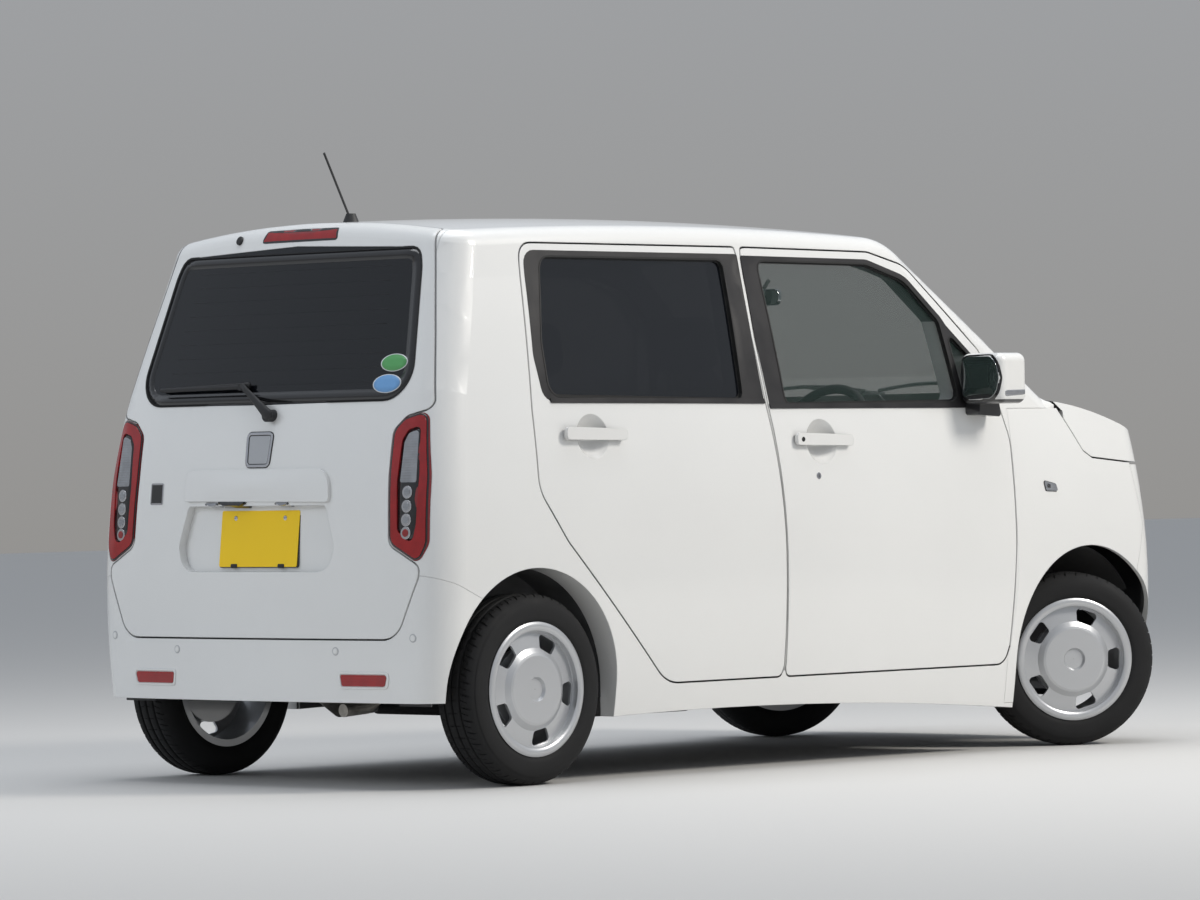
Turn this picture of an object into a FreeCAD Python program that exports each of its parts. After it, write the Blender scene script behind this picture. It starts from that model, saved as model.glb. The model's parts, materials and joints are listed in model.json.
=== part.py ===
import FreeCAD, Part
import math
import os
from FreeCAD import Vector as V

# A kei car: a small tall five-door hatchback, millimetres, at its real size.
# +X is forward, +Y is the car's left, +Z is up. The origin is on the ground at the middle of the car.
# The car is right-hand drive and is parked with its front wheels turned to the right.
# Every outline below is given for the right side by its distance from the middle and is mirrored for the left.

# Overall sizes
LENGTH = 3395.0
HALF_WIDTH = 737.5
HEIGHT = 1672.0
REAR_AXLE_X = -1262.0
WHEELBASE = 2530.0
HALF_TRACK = 652.5
FRONT_AXLE_X = REAR_AXLE_X + WHEELBASE
REAR_X = -LENGTH / 2
NOSE_X = LENGTH / 2

# Wheels and steering
TYRE_R = 277.0
TYRE_W = 155.0
RIM_SEAT_R = 178.0
RIM_LIP_R = 195.0
STEER_AT_REST = -31.0
KINGPIN_TILT = 12.0
KINGPIN_OFFSET = 40.0
ARCH_R_FRONT = 358.0
ARCH_R_REAR = 347.0
ARCH_CENTRE_Z = 280.0
RAIL_IN = 330.0
RAIL_OUT = 384.0
FRONT_HOUSING_IN = RAIL_OUT + 6.3
REAR_HOUSING_IN = 520.0
HOUSING_T = 6.0

# Body section across the car: distance from the middle at each height
SILL_Z = 190.0
SILL_Y = 700.0
WAIST_Z = 600.0
BELT_Z = 1080.0
BELT_Y = 706.0
SHOULDER_Z = 1288.0
SHOULDER_Y = 672.0
EAVES_Z = 1490.0
EAVES_Y = 632.0
ROOF_EDGE_DROP = 47.0
ROOF_EDGE_Y = 608.0
ROOF_PEAK_X = -450.0
ROOF_BOW_R = 18000.0
CROWN_R = 4000.0
BONNET_CROWN_R = 5200.0
NOSE_TOP_Z = 1290.0
REAR_BOW_R = 7000.0
NOSE_BOW_R = 3200.0

# Rounded body edges
REAR_CORNER_R = 110.0
ROOF_CORNER_R = 60.0
HEADER_R = 250.0
NOSE_CORNER_R = 110.0

# Walls and clearances
DOOR_T = 70.0
ROOF_T = 38.0
JAMB_T = 112.0
PANEL_GAP = 5.0
OUTLINE_TAPER = 0.07
GLASS_T = 5.0
GLASS_SET = 10.0
FIT = 0.5
TOUCH = 0.3
SCREEN_GAP = 12.0
NOSE_SKIN = 14.0
FLOOR_T = 12.0
FLOOR_Z = 240.0
REAR_FLOOR_Z = 400.0
KICK_UP_X = -860.0
BULKHEAD_X = 985.0
FLANGE_W = 42.0

SIDES = (("right", -1), ("left", 1))

os.makedirs("parts", exist_ok=True)


# Drawing helpers: a plane is named by its two axes, and a row of an outline is (a, b, corner radius)
def point(plane, a, b, depth):
    if plane == "XZ":
        return V(a, depth, b)
    if plane == "YZ":
        return V(depth, a, b)
    return V(a, b, depth)


def rounded_wire(plane, rows, depth):
    """Closed wire through the rows, each corner rounded by its own radius."""
    count = len(rows)
    starts, ends, mids = [], [], []
    for i, (a, b, radius) in enumerate(rows):
        here = V(a, b, 0)
        before = V(rows[i - 1][0], rows[i - 1][1], 0) - here
        after = V(rows[(i + 1) % count][0], rows[(i + 1) % count][1], 0) - here
        before.normalize()
        after.normalize()
        half = before.getAngle(after) / 2
        if radius <= 0 or abs(half - math.pi / 2) < 1e-3:
            starts.append(here)
            ends.append(here)
            mids.append(None)
            continue
        reach = radius / math.tan(half)
        bisector = before + after
        bisector.normalize()
        centre = here + bisector * (radius / math.sin(half))
        starts.append(here + before * reach)
        ends.append(here + after * reach)
        mids.append(centre - bisector * radius)
    edges = []
    for i in range(count):
        place = [point(plane, p.x, p.y, depth) if p else None for p in (starts[i], mids[i], ends[i])]
        if mids[i]:
            edges.append(Part.Arc(*place).toShape())
        following = starts[(i + 1) % count]
        if (following - ends[i]).Length > 1e-4:
            edges.append(Part.LineSegment(place[2], point(plane, following.x, following.y, depth)).toShape())
    return Part.Wire(edges)


def direction(plane, length):
    return {"XZ": V(0, length, 0), "YZ": V(length, 0, 0), "XY": V(0, 0, length)}[plane]


def prism(plane, rows, low, high, grow=0.0):
    wire = rounded_wire(plane, rows, low)
    if grow:
        wire = wire.makeOffset2D(grow)
    return Part.Face(wire).extrude(direction(plane, high - low))


def plug(plane, rows, wide_at, narrow_at, grow=0.0, taper=OUTLINE_TAPER):
    """Prism that narrows from one depth to the other, so that a door leaves its frame without rubbing."""
    wide = rounded_wire(plane, rows, wide_at)
    if grow:
        wide = wide.makeOffset2D(grow)
    narrow = wide.makeOffset2D(-abs(wide_at - narrow_at) * taper)
    narrow.translate(direction(plane, narrow_at - wide_at))
    return Part.makeLoft([wide, narrow], True, True)


def box(x0, x1, y0, y1, z0, z1):
    return Part.makeBox(x1 - x0, y1 - y0, z1 - z0, V(x0, y0, z0))


def mirrored(shape):
    return shape.mirror(V(0, 0, 0), V(0, 1, 0))


def for_side(shape, side):
    """Shape drawn on the right side, or its mirror on the left."""
    return shape if side < 0 else mirrored(shape)


def pair(shape):
    return [shape, mirrored(shape)]


def tube_along(points, radius):
    """Round bar along straight runs with a ball at each bend."""
    pieces = []
    for start, end in zip(points[:-1], points[1:]):
        pieces.append(Part.makeCylinder(radius, (end - start).Length, start, end - start))
    for bend in points[1:-1]:
        pieces.append(Part.makeSphere(radius, bend))
    solid = pieces[0]
    return solid.fuse(pieces[1:]) if len(pieces) > 1 else solid


def fused(shapes):
    return shapes[0].fuse(shapes[1:]).removeSplitter()


def ring(outer, inner, y0, y1, x, z):
    tall = Part.makeCylinder(outer, y1 - y0, V(x, y0, z), V(0, 1, 0))
    return tall.cut(Part.makeCylinder(inner, y1 - y0, V(x, y0, z), V(0, 1, 0)))


def write(name, shapes):
    solids = []
    for shape in shapes:
        solids.extend(shape.Solids)
    whole = solids[0] if len(solids) == 1 else Part.makeCompound(solids)
    whole.exportStep("parts/" + name + ".step")
    print(name, len(solids), "solids", [round(v) for v in (
        whole.BoundBox.XMin, whole.BoundBox.XMax, whole.BoundBox.YMin, whole.BoundBox.YMax,
        whole.BoundBox.ZMin, whole.BoundBox.ZMax)], "valid", whole.isValid())


# Outer form of the body
def swept_section(side, top, bottom):
    """The car's cross section, carried along the roof's long bow."""
    rows = [(SILL_Y - side, bottom), (HALF_WIDTH - side, WAIST_Z), (BELT_Y - side, BELT_Z),
            (SHOULDER_Y - side, SHOULDER_Z), (EAVES_Y - side, EAVES_Z),
            (ROOF_EDGE_Y - side, HEIGHT - ROOF_EDGE_DROP - top)]
    left = [V(ROOF_PEAK_X, y, z) for y, z in rows]
    right = [V(ROOF_PEAK_X, -y, z) for y, z in rows]
    crown = V(ROOF_PEAK_X, 0, HEIGHT - top)
    edges = [Part.LineSegment(right[0], left[0]).toShape(),
             Part.Arc(left[0], left[1], left[2]).toShape(),
             Part.Arc(left[2], left[3], left[4]).toShape(),
             Part.LineSegment(left[4], left[5]).toShape(),
             Part.Arc(left[5], crown, right[5]).toShape(),
             Part.LineSegment(right[5], right[4]).toShape(),
             Part.Arc(right[4], right[3], right[2]).toShape(),
             Part.Arc(right[2], right[1], right[0]).toShape()]
    face = Part.Face(Part.Wire(edges))
    axis = V(ROOF_PEAK_X, 0, HEIGHT - ROOF_BOW_R)
    face.rotate(axis, V(0, 1, 0), -7.5)
    return face.revolve(axis, V(0, 1, 0), 16)


def turned(face, axis_point, axis, half_angle):
    face.rotate(axis_point, axis, -half_angle)
    return face.revolve(axis_point, axis, 2 * half_angle)


def profile_face(parts):
    """Face in the middle plane. A row is a line's end (x, z) or an arc's middle and end (x, z, x, z)."""
    edges = []
    here = V(parts[0][-2], 0, parts[0][-1])
    for row in parts[1:] + parts[:1]:
        end = V(row[-2], 0, row[-1])
        if len(row) == 4:
            edges.append(Part.Arc(here, V(row[0], 0, row[1]), end).toShape())
        elif (end - here).Length > 1e-6:
            edges.append(Part.LineSegment(here, end).toShape())
        here = end
    return Part.Face(Part.Wire(edges))


def rear_face_volume(inset):
    """Everything in front of the car's bowed, leaning tail."""
    x = REAR_X + inset
    parts = [(x + 12.5, 100), (x + 0.5, 400, x + 17.5, 830), (x + 38.5, 985, x + 72.5, 1140), (x + 277.5, 1800),
             (1900, 1800), (1900, 100)]
    return turned(profile_face(parts), V(x + REAR_BOW_R, 0, 0), V(0, 0, 1), 9.5)


WINDSCREEN_TOP = (200.0, 1831.0)
WINDSCREEN_SLOPE = 0.7167


def below_windscreen(inset):
    """Everything behind and below the raked windscreen, bowed across the car."""
    lift = WINDSCREEN_TOP[1] - inset / math.cos(math.atan(WINDSCREEN_SLOPE))
    foot = lift - WINDSCREEN_SLOPE * 1500
    parts = [(-1900, 100), (-1900, 1900), (WINDSCREEN_TOP[0], 1900), (WINDSCREEN_TOP[0], lift), (1700, foot),
             (1700, 100)]
    return turned(profile_face(parts), V(0, 0, HEIGHT - CROWN_R), V(1, 0, 0), 20)


def edges_where(shape, test):
    return [edge for edge in shape.Edges if edge.Length > 40 and test(edge.CenterOfMass, edge)]


def inner_volume(side, top, rear, glass, bottom=SILL_Z + 40):
    """Square-cornered form of the cabin and tail, with each wall moved inwards by its own amount."""
    return swept_section(side, top, bottom).common(rear_face_volume(rear)).common(below_windscreen(glass))


def cabin_volume(inset=0.0):
    """Solid form of the cabin and tail with its corners rounded, moved inwards all over."""
    form = inner_volume(inset, inset, inset, inset, SILL_Z)
    header = edges_where(form, lambda c, e: 300 < c.x < 600 and abs(c.y) < 50 and c.z > 1450)
    form = form.makeFillet(HEADER_R, header)
    corners = edges_where(form, lambda c, e: c.x < -1280 and abs(c.y) > 400
                          and abs(e.tangentAt(e.FirstParameter).z) > 0.5)
    form = form.makeFillet(REAR_CORNER_R - inset, corners)
    upper = edges_where(form, lambda c, e: c.z > 1440 or (c.x > 420 and c.z > 960 and abs(c.y) > 400))
    return form.makeFillet(ROOF_CORNER_R - inset, upper)


def nose_section(inset):
    """The lower side's arc carried up past the belt, so that the front wings have one unbroken flank."""
    low, waist, belt = [V(ROOF_PEAK_X, y - inset, z) for y, z in (
        (SILL_Y, SILL_Z), (HALF_WIDTH, WAIST_Z), (BELT_Y, BELT_Z))]
    circle = Part.Arc(low, waist, belt).toShape().Curve
    centre = circle.Center
    high = V(ROOF_PEAK_X, centre.y + math.sqrt(circle.Radius ** 2 - (NOSE_TOP_Z - centre.z) ** 2), NOSE_TOP_Z)
    low.z += inset
    low.y = centre.y + math.sqrt(circle.Radius ** 2 - (low.z - centre.z) ** 2)
    left = [low, waist, high]
    right = [V(p.x, -p.y, p.z) for p in left]
    edges = [Part.LineSegment(right[0], left[0]).toShape(), Part.Arc(*left).toShape(),
             Part.LineSegment(left[2], right[2]).toShape(), Part.Arc(right[2], right[1], right[0]).toShape()]
    face = Part.Face(Part.Wire(edges))
    axis = V(ROOF_PEAK_X, 0, HEIGHT - ROOF_BOW_R)
    face.rotate(axis, V(0, 1, 0), 3.0)
    return face.revolve(axis, V(0, 1, 0), 5)


def nose_volume(inset, corner=NOSE_CORNER_R):
    """Solid form of the bonnet, wings and front bumper, moved inwards all over."""
    x = NOSE_X - inset
    face = profile_face([(600, 100), (600, 1300), (x - 132, 1300), (x - 0.5, 480, x - 17.5, 190), (x - 17.5, 100)])
    form = nose_section(inset).common(turned(face, V(x - NOSE_BOW_R, 0, 0), V(0, 0, 1), 17))
    crown = profile_face([(620, 0), (620, 1248 - inset), (1120, 1146 - inset), (1430, 1086 - inset, 1720, 965 - inset),
                          (1900, 860 - inset), (1900, 0)])
    form = form.common(turned(crown, V(0, 0, 1100 - BONNET_CROWN_R), V(1, 0, 0), 12))
    corners = edges_where(form, lambda c, e: c.x > 1500 and abs(c.y) > 500 and c.z < 950
                          and abs(e.tangentAt(e.FirstParameter).z) > 0.6)
    return form.makeFillet(corner - inset, corners)


OUTER = cabin_volume()
DOOR_BACK = inner_volume(DOOR_T, ROOF_T, DOOR_T, 26)
JAMB_FRONT = inner_volume(DOOR_T + TOUCH, ROOF_T, DOOR_T + TOUCH, 26)
JAMB_BACK = inner_volume(JAMB_T, ROOF_T + 14, JAMB_T, 40)
GLASS_OUT = cabin_volume(GLASS_SET)
GLASS_IN = cabin_volume(GLASS_SET + GLASS_T)
SKIN = cabin_volume(GLASS_T)
SKIN_SEAT = cabin_volume(GLASS_T + FIT)
SKIN_IN = cabin_volume(NOSE_SKIN)
NOSE_OUT = nose_volume(0)
NOSE_IN = nose_volume(NOSE_SKIN)
print("volumes", [shape.isValid() for shape in (OUTER, DOOR_BACK, JAMB_FRONT, JAMB_BACK, GLASS_OUT, GLASS_IN, SKIN,
                                                NOSE_OUT, NOSE_IN)])

# Outlines seen from the side: x, z, corner radius
REAR_DOOR = [(-1205, 1578, 60), (-258, 1578, 22), (-250, 1300, 0), (-230, 1097, 60), (-188, 860, 2700),
             (-181, 300, 40), (-196, 272, 22), (-700, 272, 130), (-1130, 700, 190), (-1240, 850, 120),
             (-1240, 1080, 300)]
FRONT_DOOR = [(-252, 1578, 22), (345, 1572, 120), (520, 1530, 150), (822, 1252, 110), (905, 980, 160),
              (900, 640, 400), (872, 330, 60), (850, 272, 50), (-190, 272, 22), (-175, 300, 40),
              (-182, 860, 2700), (-224, 1098, 60), (-244, 1300, 0)]
REAR_WINDOW = [(-1115, 1530, 40), (-330, 1530, 25), (-330, 1108, 25), (-1158, 1122, 45), (-1162, 1280, 200)]
FRONT_WINDOW = [(-176, 1529, 25), (330, 1526, 90), (500, 1478, 120), (636, 1352, 30), (680, 1100, 30),
                (-140, 1094, 25)]
QUARTER_WINDOW = [(664, 1322, 14), (764, 1238, 30), (752, 1104, 25), (702, 1102, 16)]

# Outlines seen from behind or in front: distance from the middle, z, corner radius
TAILGATE = [(0, 1646, 0), (530, 1630, 45), (610, 1303, 400), (657, 1092, 25), (575, 1072, 40), (530, 1030, 40),
            (530, 900, 200), (540, 700, 40), (655, 640, 25), (650, 606, 60), (572, 434, 80), (0, 434, 0)]
REAR_GLASS = [(0, 1577, 0), (500, 1558, 45), (520, 1500, 120), (584, 1116, 92), (0, 1112, 0)]
TAIL_LAMP = [(648, 1084, 25), (570, 1064, 40), (535, 1030, 40), (535, 900, 200), (545, 706, 40), (655, 648, 25),
             (684, 704, 60), (678, 900, 300)]
SCREEN = [(0, 1628, 0), (545, 1592, 60), (650, 1180, 200), (668, 1100, 40), (0, 1100, 0)]
HEADLAMP = [(430, 880, 60), (640, 880, 80), (700, 820, 60), (690, 700, 70), (500, 690, 80), (430, 740, 60)]


def across(rows):
    """A half outline that starts and ends on the middle line, closed by its mirror."""
    return rows + [(-a, b, r) for a, b, r in reversed(rows) if a > 0]


def flipped(rows):
    """The right side's outline in true coordinates."""
    return [(-a, b, r) for a, b, r in rows]


ROOF_HALF = 556.0
SIDE_WIDE = -HALF_WIDTH - 22.0
SIDE_NARROW = -440.0
TAIL_WIDE = REAR_X - 22.0
HATCH_EDGE_X = -1425.0


def door_plug(rows, grow=0.0):
    return plug("XZ", rows, SIDE_WIDE, SIDE_NARROW, grow)


# Doors and their glass, drawn on the right side
SHELL = OUTER.cut(DOOR_BACK)
PANE = GLASS_OUT.cut(GLASS_IN)
FLUSH_PANE = OUTER.cut(SKIN)


def make_door(rows, windows):
    door = SHELL.common(door_plug(rows)).common(box(-1800, 1400, -900, -ROOF_HALF - PANEL_GAP - 1, 100, 1800))
    panes = []
    for window in windows:
        opening = prism("XZ", window, -800, -400)
        door = door.cut(opening)
        panes.append(PANE.common(prism("XZ", window, -800, -400, -FIT)))
    return door, panes


# Door handles: a grip bar on two feet over a bowl in the door skin; x from, x to, top, bottom
HANDLES = {"front": (-125, 131, 1008, 966), "rear": (-1128, -872, 1033, 991)}
HANDLE_OUT = 737.0
HANDLE_IN = 725.0
FOOT_IN = 696.0
FOOT_W = 34.0
BOWL_R = 92.0
BOWL_OUT = 778.0


def make_handle(x0, x1, top, bottom):
    bar = prism("XZ", [(x0, top, 14), (x1, top - 8, 14), (x1, bottom, 14), (x0, bottom + 4, 14)],
                -HANDLE_OUT, -HANDLE_IN)
    feet = [box(x, x + FOOT_W, -HANDLE_IN - 4, -FOOT_IN, bottom + 8, top - 12) for x in (x0 + 8, x1 - FOOT_W - 8)]
    bowl = Part.makeSphere(BOWL_R, V((x0 + x1) / 2, -BOWL_OUT, (top + bottom) / 2))
    return bar.fuse(feet[0]).fuse(feet[1]), feet + [bowl]


rear_door, rear_panes = make_door(REAR_DOOR, [REAR_WINDOW])
front_door, front_panes = make_door(FRONT_DOOR, [FRONT_WINDOW, QUARTER_WINDOW])
front_handle, front_pockets = make_handle(*HANDLES["front"])
rear_handle, rear_pockets = make_handle(*HANDLES["rear"])
for pocket in front_pockets:
    front_door = front_door.cut(pocket)
for pocket in rear_pockets:
    rear_door = rear_door.cut(pocket)
for name, side in SIDES:
    write("rear_door_" + name, [for_side(rear_door, side)])
    write("front_door_" + name, [for_side(front_door, side)])
    write("rear_door_glass_" + name, [for_side(pane, side) for pane in rear_panes])
    write("front_door_glass_" + name, [for_side(pane, side) for pane in front_panes])
    write("front_handle_" + name, [for_side(front_handle, side)])
    write("rear_handle_" + name, [for_side(rear_handle, side)])

# Mirrors: a foot on the door's corner and a rounded head
MIRROR_X = 742.0
MIRROR_Z = 1168.0
MIRROR_OUT = 868.0


def make_mirror():
    head = box(MIRROR_X - 62, MIRROR_X + 70, -MIRROR_OUT, -MIRROR_OUT + 172, MIRROR_Z - 78, MIRROR_Z + 80)
    head = head.makeFillet(26, head.Edges)
    foot = prism("XZ", [(MIRROR_X - 34, MIRROR_Z - 40, 10), (MIRROR_X + 52, MIRROR_Z - 52, 10),
                        (MIRROR_X + 66, MIRROR_Z - 118, 10), (MIRROR_X - 40, MIRROR_Z - 112, 10)], -760, -600)
    return fused([head, foot]).cut(OUTER)


mirror = make_mirror()
for name, side in SIDES:
    write("mirror_" + name, [for_side(mirror, side)])

# Body shell
tail_opening = prism("YZ", across(TAILGATE), TAIL_WIDE, HATCH_EDGE_X + PANEL_GAP, PANEL_GAP)
tail_aperture = prism("YZ", across(TAILGATE), -1750, -1200, -FLANGE_W)
screen_seat = prism("YZ", across(SCREEN), 330, 1500)
screen_aperture = prism("YZ", across(SCREEN), 330, 1500, -34)
lamp_right = prism("YZ", flipped(TAIL_LAMP), -1750, -1520)
lamp_room = prism("YZ", flipped(TAIL_LAMP), -1750, -1520, FIT)


def wheel_cut(axle_x, radius, y0, y1):
    round_part = Part.makeCylinder(radius, y1 - y0, V(axle_x, y0, ARCH_CENTRE_Z), V(0, 1, 0))
    return round_part.fuse(box(axle_x - radius, axle_x + radius, y0, y1, 0, ARCH_CENTRE_Z))


ARCHES = [(FRONT_AXLE_X, ARCH_R_FRONT, FRONT_HOUSING_IN), (REAR_AXLE_X, ARCH_R_REAR, REAR_HOUSING_IN)]
FENDER_TOP = 1076.0
FENDER = [(909, FENDER_TOP, 0), (1160, FENDER_TOP, 0), (1268, 937, 20), (1310, 915, 20), (1500, 898, 0), (1548, 700, 0),
          (1505, 560, 0), (1505, 150, 0), (866, 150, 0), (866, 300, 0), (877, 330, 30), (905, 640, 400),
          (909, 980, 0)]
CABIN_HALF = 639.5
HOUSING_OUT = 647.5
roof_box = box(-1600, 640, -ROOF_HALF, ROOF_HALF, 1540, 1800)


def make_body_side():
    """One side of the shell with its door frames, tail frame and pillars."""
    shell = OUTER.cut(JAMB_BACK).common(box(-1800, 1200, -800, -3, 100, 1800))
    cutters = [box(-1800, 1300, -CABIN_HALF - FIT, 0, 100, FLOOR_Z + FLOOR_T + 2),
               box(-1800, KICK_UP_X + FIT, -CABIN_HALF - FIT, 0, 100, REAR_FLOOR_Z + FLOOR_T + FIT),
               box(-1600, 640, -ROOF_HALF - FIT, 0, 1540, 1800), box(-1800, -1598 + FIT, -604, 0, 100, 474),
               prism("XZ", FENDER, -900, -300, FIT), box(909, 1400, -900, 0, 100, FENDER_TOP + FIT),
               tail_aperture, screen_aperture, screen_seat.cut(SKIN_SEAT), lamp_room.cut(JAMB_FRONT),
               tail_opening.cut(JAMB_FRONT)]
    for rows in (FRONT_DOOR, REAR_DOOR):
        cutters.append(door_plug(rows, PANEL_GAP).cut(JAMB_FRONT))
        cutters.append(prism("XZ", rows, -900, -300, -FLANGE_W))
    for axle_x, radius, _ in ARCHES:
        cutters.append(wheel_cut(axle_x, radius, -900, -100))
        cutters.append(wheel_cut(axle_x, radius + HOUSING_T + TOUCH, -HOUSING_OUT - TOUCH, -100))
    for cutter in cutters:
        shell = shell.cut(cutter)
    return shell


body_side = make_body_side()
roof = SHELL.common(roof_box).cut(tail_opening.cut(JAMB_FRONT)).cut(tail_aperture)
roof = roof.cut(screen_seat.cut(SKIN_SEAT)).cut(screen_aperture)
write("roof_panel", [roof])
windscreen = FLUSH_PANE.common(prism("YZ", across(SCREEN), 330, 1500, -FIT))
write("windscreen", [windscreen])

# Tailgate, its glass, high stop lamp and wiper
HATCH_RECESS = [(0, 818, 0), (290, 818, 14), (330, 700, 50), (310, 626, 60), (0, 626, 0)]
STOP_LAMP = [(0, 1628, 0), (150, 1626, 8), (160, 1592, 8), (0, 1594, 0)]
tailgate = SHELL.common(prism("YZ", across(TAILGATE), TAIL_WIDE, HATCH_EDGE_X))
tailgate = tailgate.cut(prism("YZ", across(REAR_GLASS), -1800, -1300, FIT).cut(SKIN_SEAT))
tailgate = tailgate.cut(prism("YZ", across(REAR_GLASS), -1800, -1300, -46))
for wing in pair(box(-1800, -1500, -700, -536, 600, 720)):
    tailgate = tailgate.cut(SKIN_IN.common(wing))
recess_depth = cabin_volume(26)
tailgate = tailgate.cut(prism("YZ", across(HATCH_RECESS), -1800, -1500).cut(recess_depth))
stop_lamp = OUTER.cut(GLASS_IN).common(prism("YZ", across(STOP_LAMP), -1600, -1400))
tailgate = tailgate.cut(prism("YZ", across(STOP_LAMP), -1600, -1400, FIT).cut(GLASS_IN))
write("tailgate", [tailgate])
write("tailgate_glass", [FLUSH_PANE.common(prism("YZ", across(REAR_GLASS), -1800, -1300))])
write("stop_lamp", [stop_lamp])

# Lamps at the rear
write("tail_lamps", pair(SHELL.common(lamp_right)))

# Front panels
BONNET = [(1100, 1200, 0), (1100, 1081, 0), (1162, 1081, 0), (1268, 942, 20), (1310, 920, 20), (1500, 903, 0),
          (1800, 893, 0), (1800, 1200, 0)]
nose_shell = NOSE_OUT.cut(NOSE_IN)
bonnet_back = Part.makeCylinder(2200, 400, V(1216 - 2200, 0, 900), V(0, 0, 1))
bonnet = nose_shell.common(prism("XZ", BONNET, -900, 900)).cut(bonnet_back)
bonnet = bonnet.cut(below_windscreen(-SCREEN_GAP).common(box(900, 1190, -800, 800, 900, 1300)))
write("bonnet", [bonnet])
fender = nose_shell.common(prism("XZ", FENDER, -900, -300)).cut(wheel_cut(FRONT_AXLE_X, ARCH_R_FRONT, -900, -100))
fender = fender.common(box(600, 1800, -800, -500, 100, 1200))
fender = fender.cut(DOOR_BACK.common(box(0, 1800, -900, 900, 900, 1200)))
fender = max(fender.Solids, key=lambda solid: solid.Volume)
nose_room = nose_volume(NOSE_SKIN + TOUCH)
pillar_flange = box(909 + TOUCH, 921, -734, -630, 440, 960).common(NOSE_OUT.cut(nose_volume(110, 112)))
write("front_fenders", pair(fender.fuse(pillar_flange)))
GRILLE = [(0, 812, 0), (360, 812, 24), (380, 752, 24), (0, 752, 0)]
INTAKE = [(0, 420, 0), (430, 420, 50), (470, 300, 40), (0, 300, 0)]
bumper_region = [(1505.5, 561, 0), (1548.5, 700, 0), (1501.5, 893, 0), (1800, 888, 0), (1800, 150, 0), (1505.5, 150, 0)]
bumper = nose_shell.common(prism("XZ", bumper_region, -900, 900))
bumper = bumper.cut(prism("YZ", across(GRILLE), 1300, 1800)).cut(prism("YZ", across(INTAKE), 1300, 1800))
for side in (-1, 1):
    lamp_rows = [(side * a, b, r) for a, b, r in HEADLAMP]
    bumper = bumper.cut(prism("YZ", lamp_rows, 1300, 1800, FIT))
bumper = bumper.cut(wheel_cut(FRONT_AXLE_X, ARCH_R_FRONT, -900, 900))
write("front_bumper", [max(bumper.Solids, key=lambda solid: solid.Volume)])
lamp_depth = nose_volume(50)
headlamp = NOSE_OUT.cut(lamp_depth).common(prism("YZ", flipped(HEADLAMP), 1400, 1800))
headlamp = headlamp.cut(prism("XZ", FENDER, -900, -300, FIT))
write("headlamps", pair(headlamp))
grille_rows = [(GRILLE, 3, 752, 812, 384), (INTAKE, 4, 300, 420, 474)]
bars = []
for rows, count, low, high, half in grille_rows:
    for i in range(count):
        z = low + (i + 0.5) * (high - low) / count
        bars.append(box(1500, 1800, -half - 6, half + 6, z - 5, z + 5))
    for k in range(-2, 3):
        bars.append(box(1500, 1800, k * half / 2.6 - 6, k * half / 2.6 + 6, low - 6, high + 6))
grille_body = fused(bars).common(NOSE_IN.cut(nose_volume(34)))
write("front_grille", [grille_body])

# Rear bumper under the tailgate and round the corners
BUMPER_BOTTOM = 250.0
REAR_BUMPER = [(-1800, 628, 0), (-1699, 628, 0), (-1590, 589, 30), (-1480, 540, 0), (-1480, BUMPER_BOTTOM, 0),
               (-1800, BUMPER_BOTTOM, 0)]
BUMPER_NOTCH = [(0, 429, 0), (575, 429, 86), (656, 606, 60), (662, 640, 0), (662, 700, 0), (0, 700, 0)]
rear_shell = OUTER.cut(SKIN_IN)
rear_bumper = rear_shell.common(prism("XZ", REAR_BUMPER, -900, 900))
rear_bumper = rear_bumper.cut(prism("YZ", across(BUMPER_NOTCH), -1800, -1400))
rear_bumper = rear_bumper.cut(box(-1600, 0, -640, 640, 100, 700))
for cut_y in (-900, 100):
    rear_bumper = rear_bumper.cut(wheel_cut(REAR_AXLE_X, ARCH_R_REAR, cut_y, cut_y + 800))
write("rear_bumper", [max(rear_bumper.Solids, key=lambda solid: solid.Volume)])
bumper_room = prism("XZ", REAR_BUMPER, -900, 900, FIT).cut(cabin_volume(NOSE_SKIN + FIT))
body_side = body_side.cut(bumper_room).cut(box(-1800, -1560, -900, 0, 100, BUMPER_BOTTOM + 6))
for name, side in SIDES:
    write("body_side_" + name, [for_side(max(body_side.Solids, key=lambda solid: solid.Volume), side)])

# Floor, wheel housings and bulkhead
floor_parts = [box(KICK_UP_X, BULKHEAD_X, -CABIN_HALF, CABIN_HALF, FLOOR_Z, FLOOR_Z + FLOOR_T),
               box(KICK_UP_X - FLOOR_T, KICK_UP_X, -CABIN_HALF, CABIN_HALF, FLOOR_Z, REAR_FLOOR_Z + FLOOR_T),
               box(-1598, KICK_UP_X, -CABIN_HALF, CABIN_HALF, REAR_FLOOR_Z, REAR_FLOOR_Z + FLOOR_T),
               box(-1612, -1598, -596, 596, FLOOR_Z + 30, 428),
               box(BULKHEAD_X, BULKHEAD_X + FLOOR_T, -CABIN_HALF, CABIN_HALF, FLOOR_Z, 900)]
floor = fused(floor_parts)
for axle_x, radius, inner in ARCHES:
    for y0, y1 in ((-900, -inner), (inner, 900)):
        floor = floor.cut(wheel_cut(axle_x, radius + HOUSING_T, y0, y1))


def wheel_housing(axle_x, radius, inner):
    """Arched shell over one wheel, closed towards the middle of the car."""
    outer = wheel_cut(axle_x, radius + HOUSING_T, -HOUSING_OUT, -inner + HOUSING_T)
    hollow = wheel_cut(axle_x, radius, -900, -inner)
    return outer.cut(hollow).common(box(-1800, 1800, -900, 0, FLOOR_Z, 1000))


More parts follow.
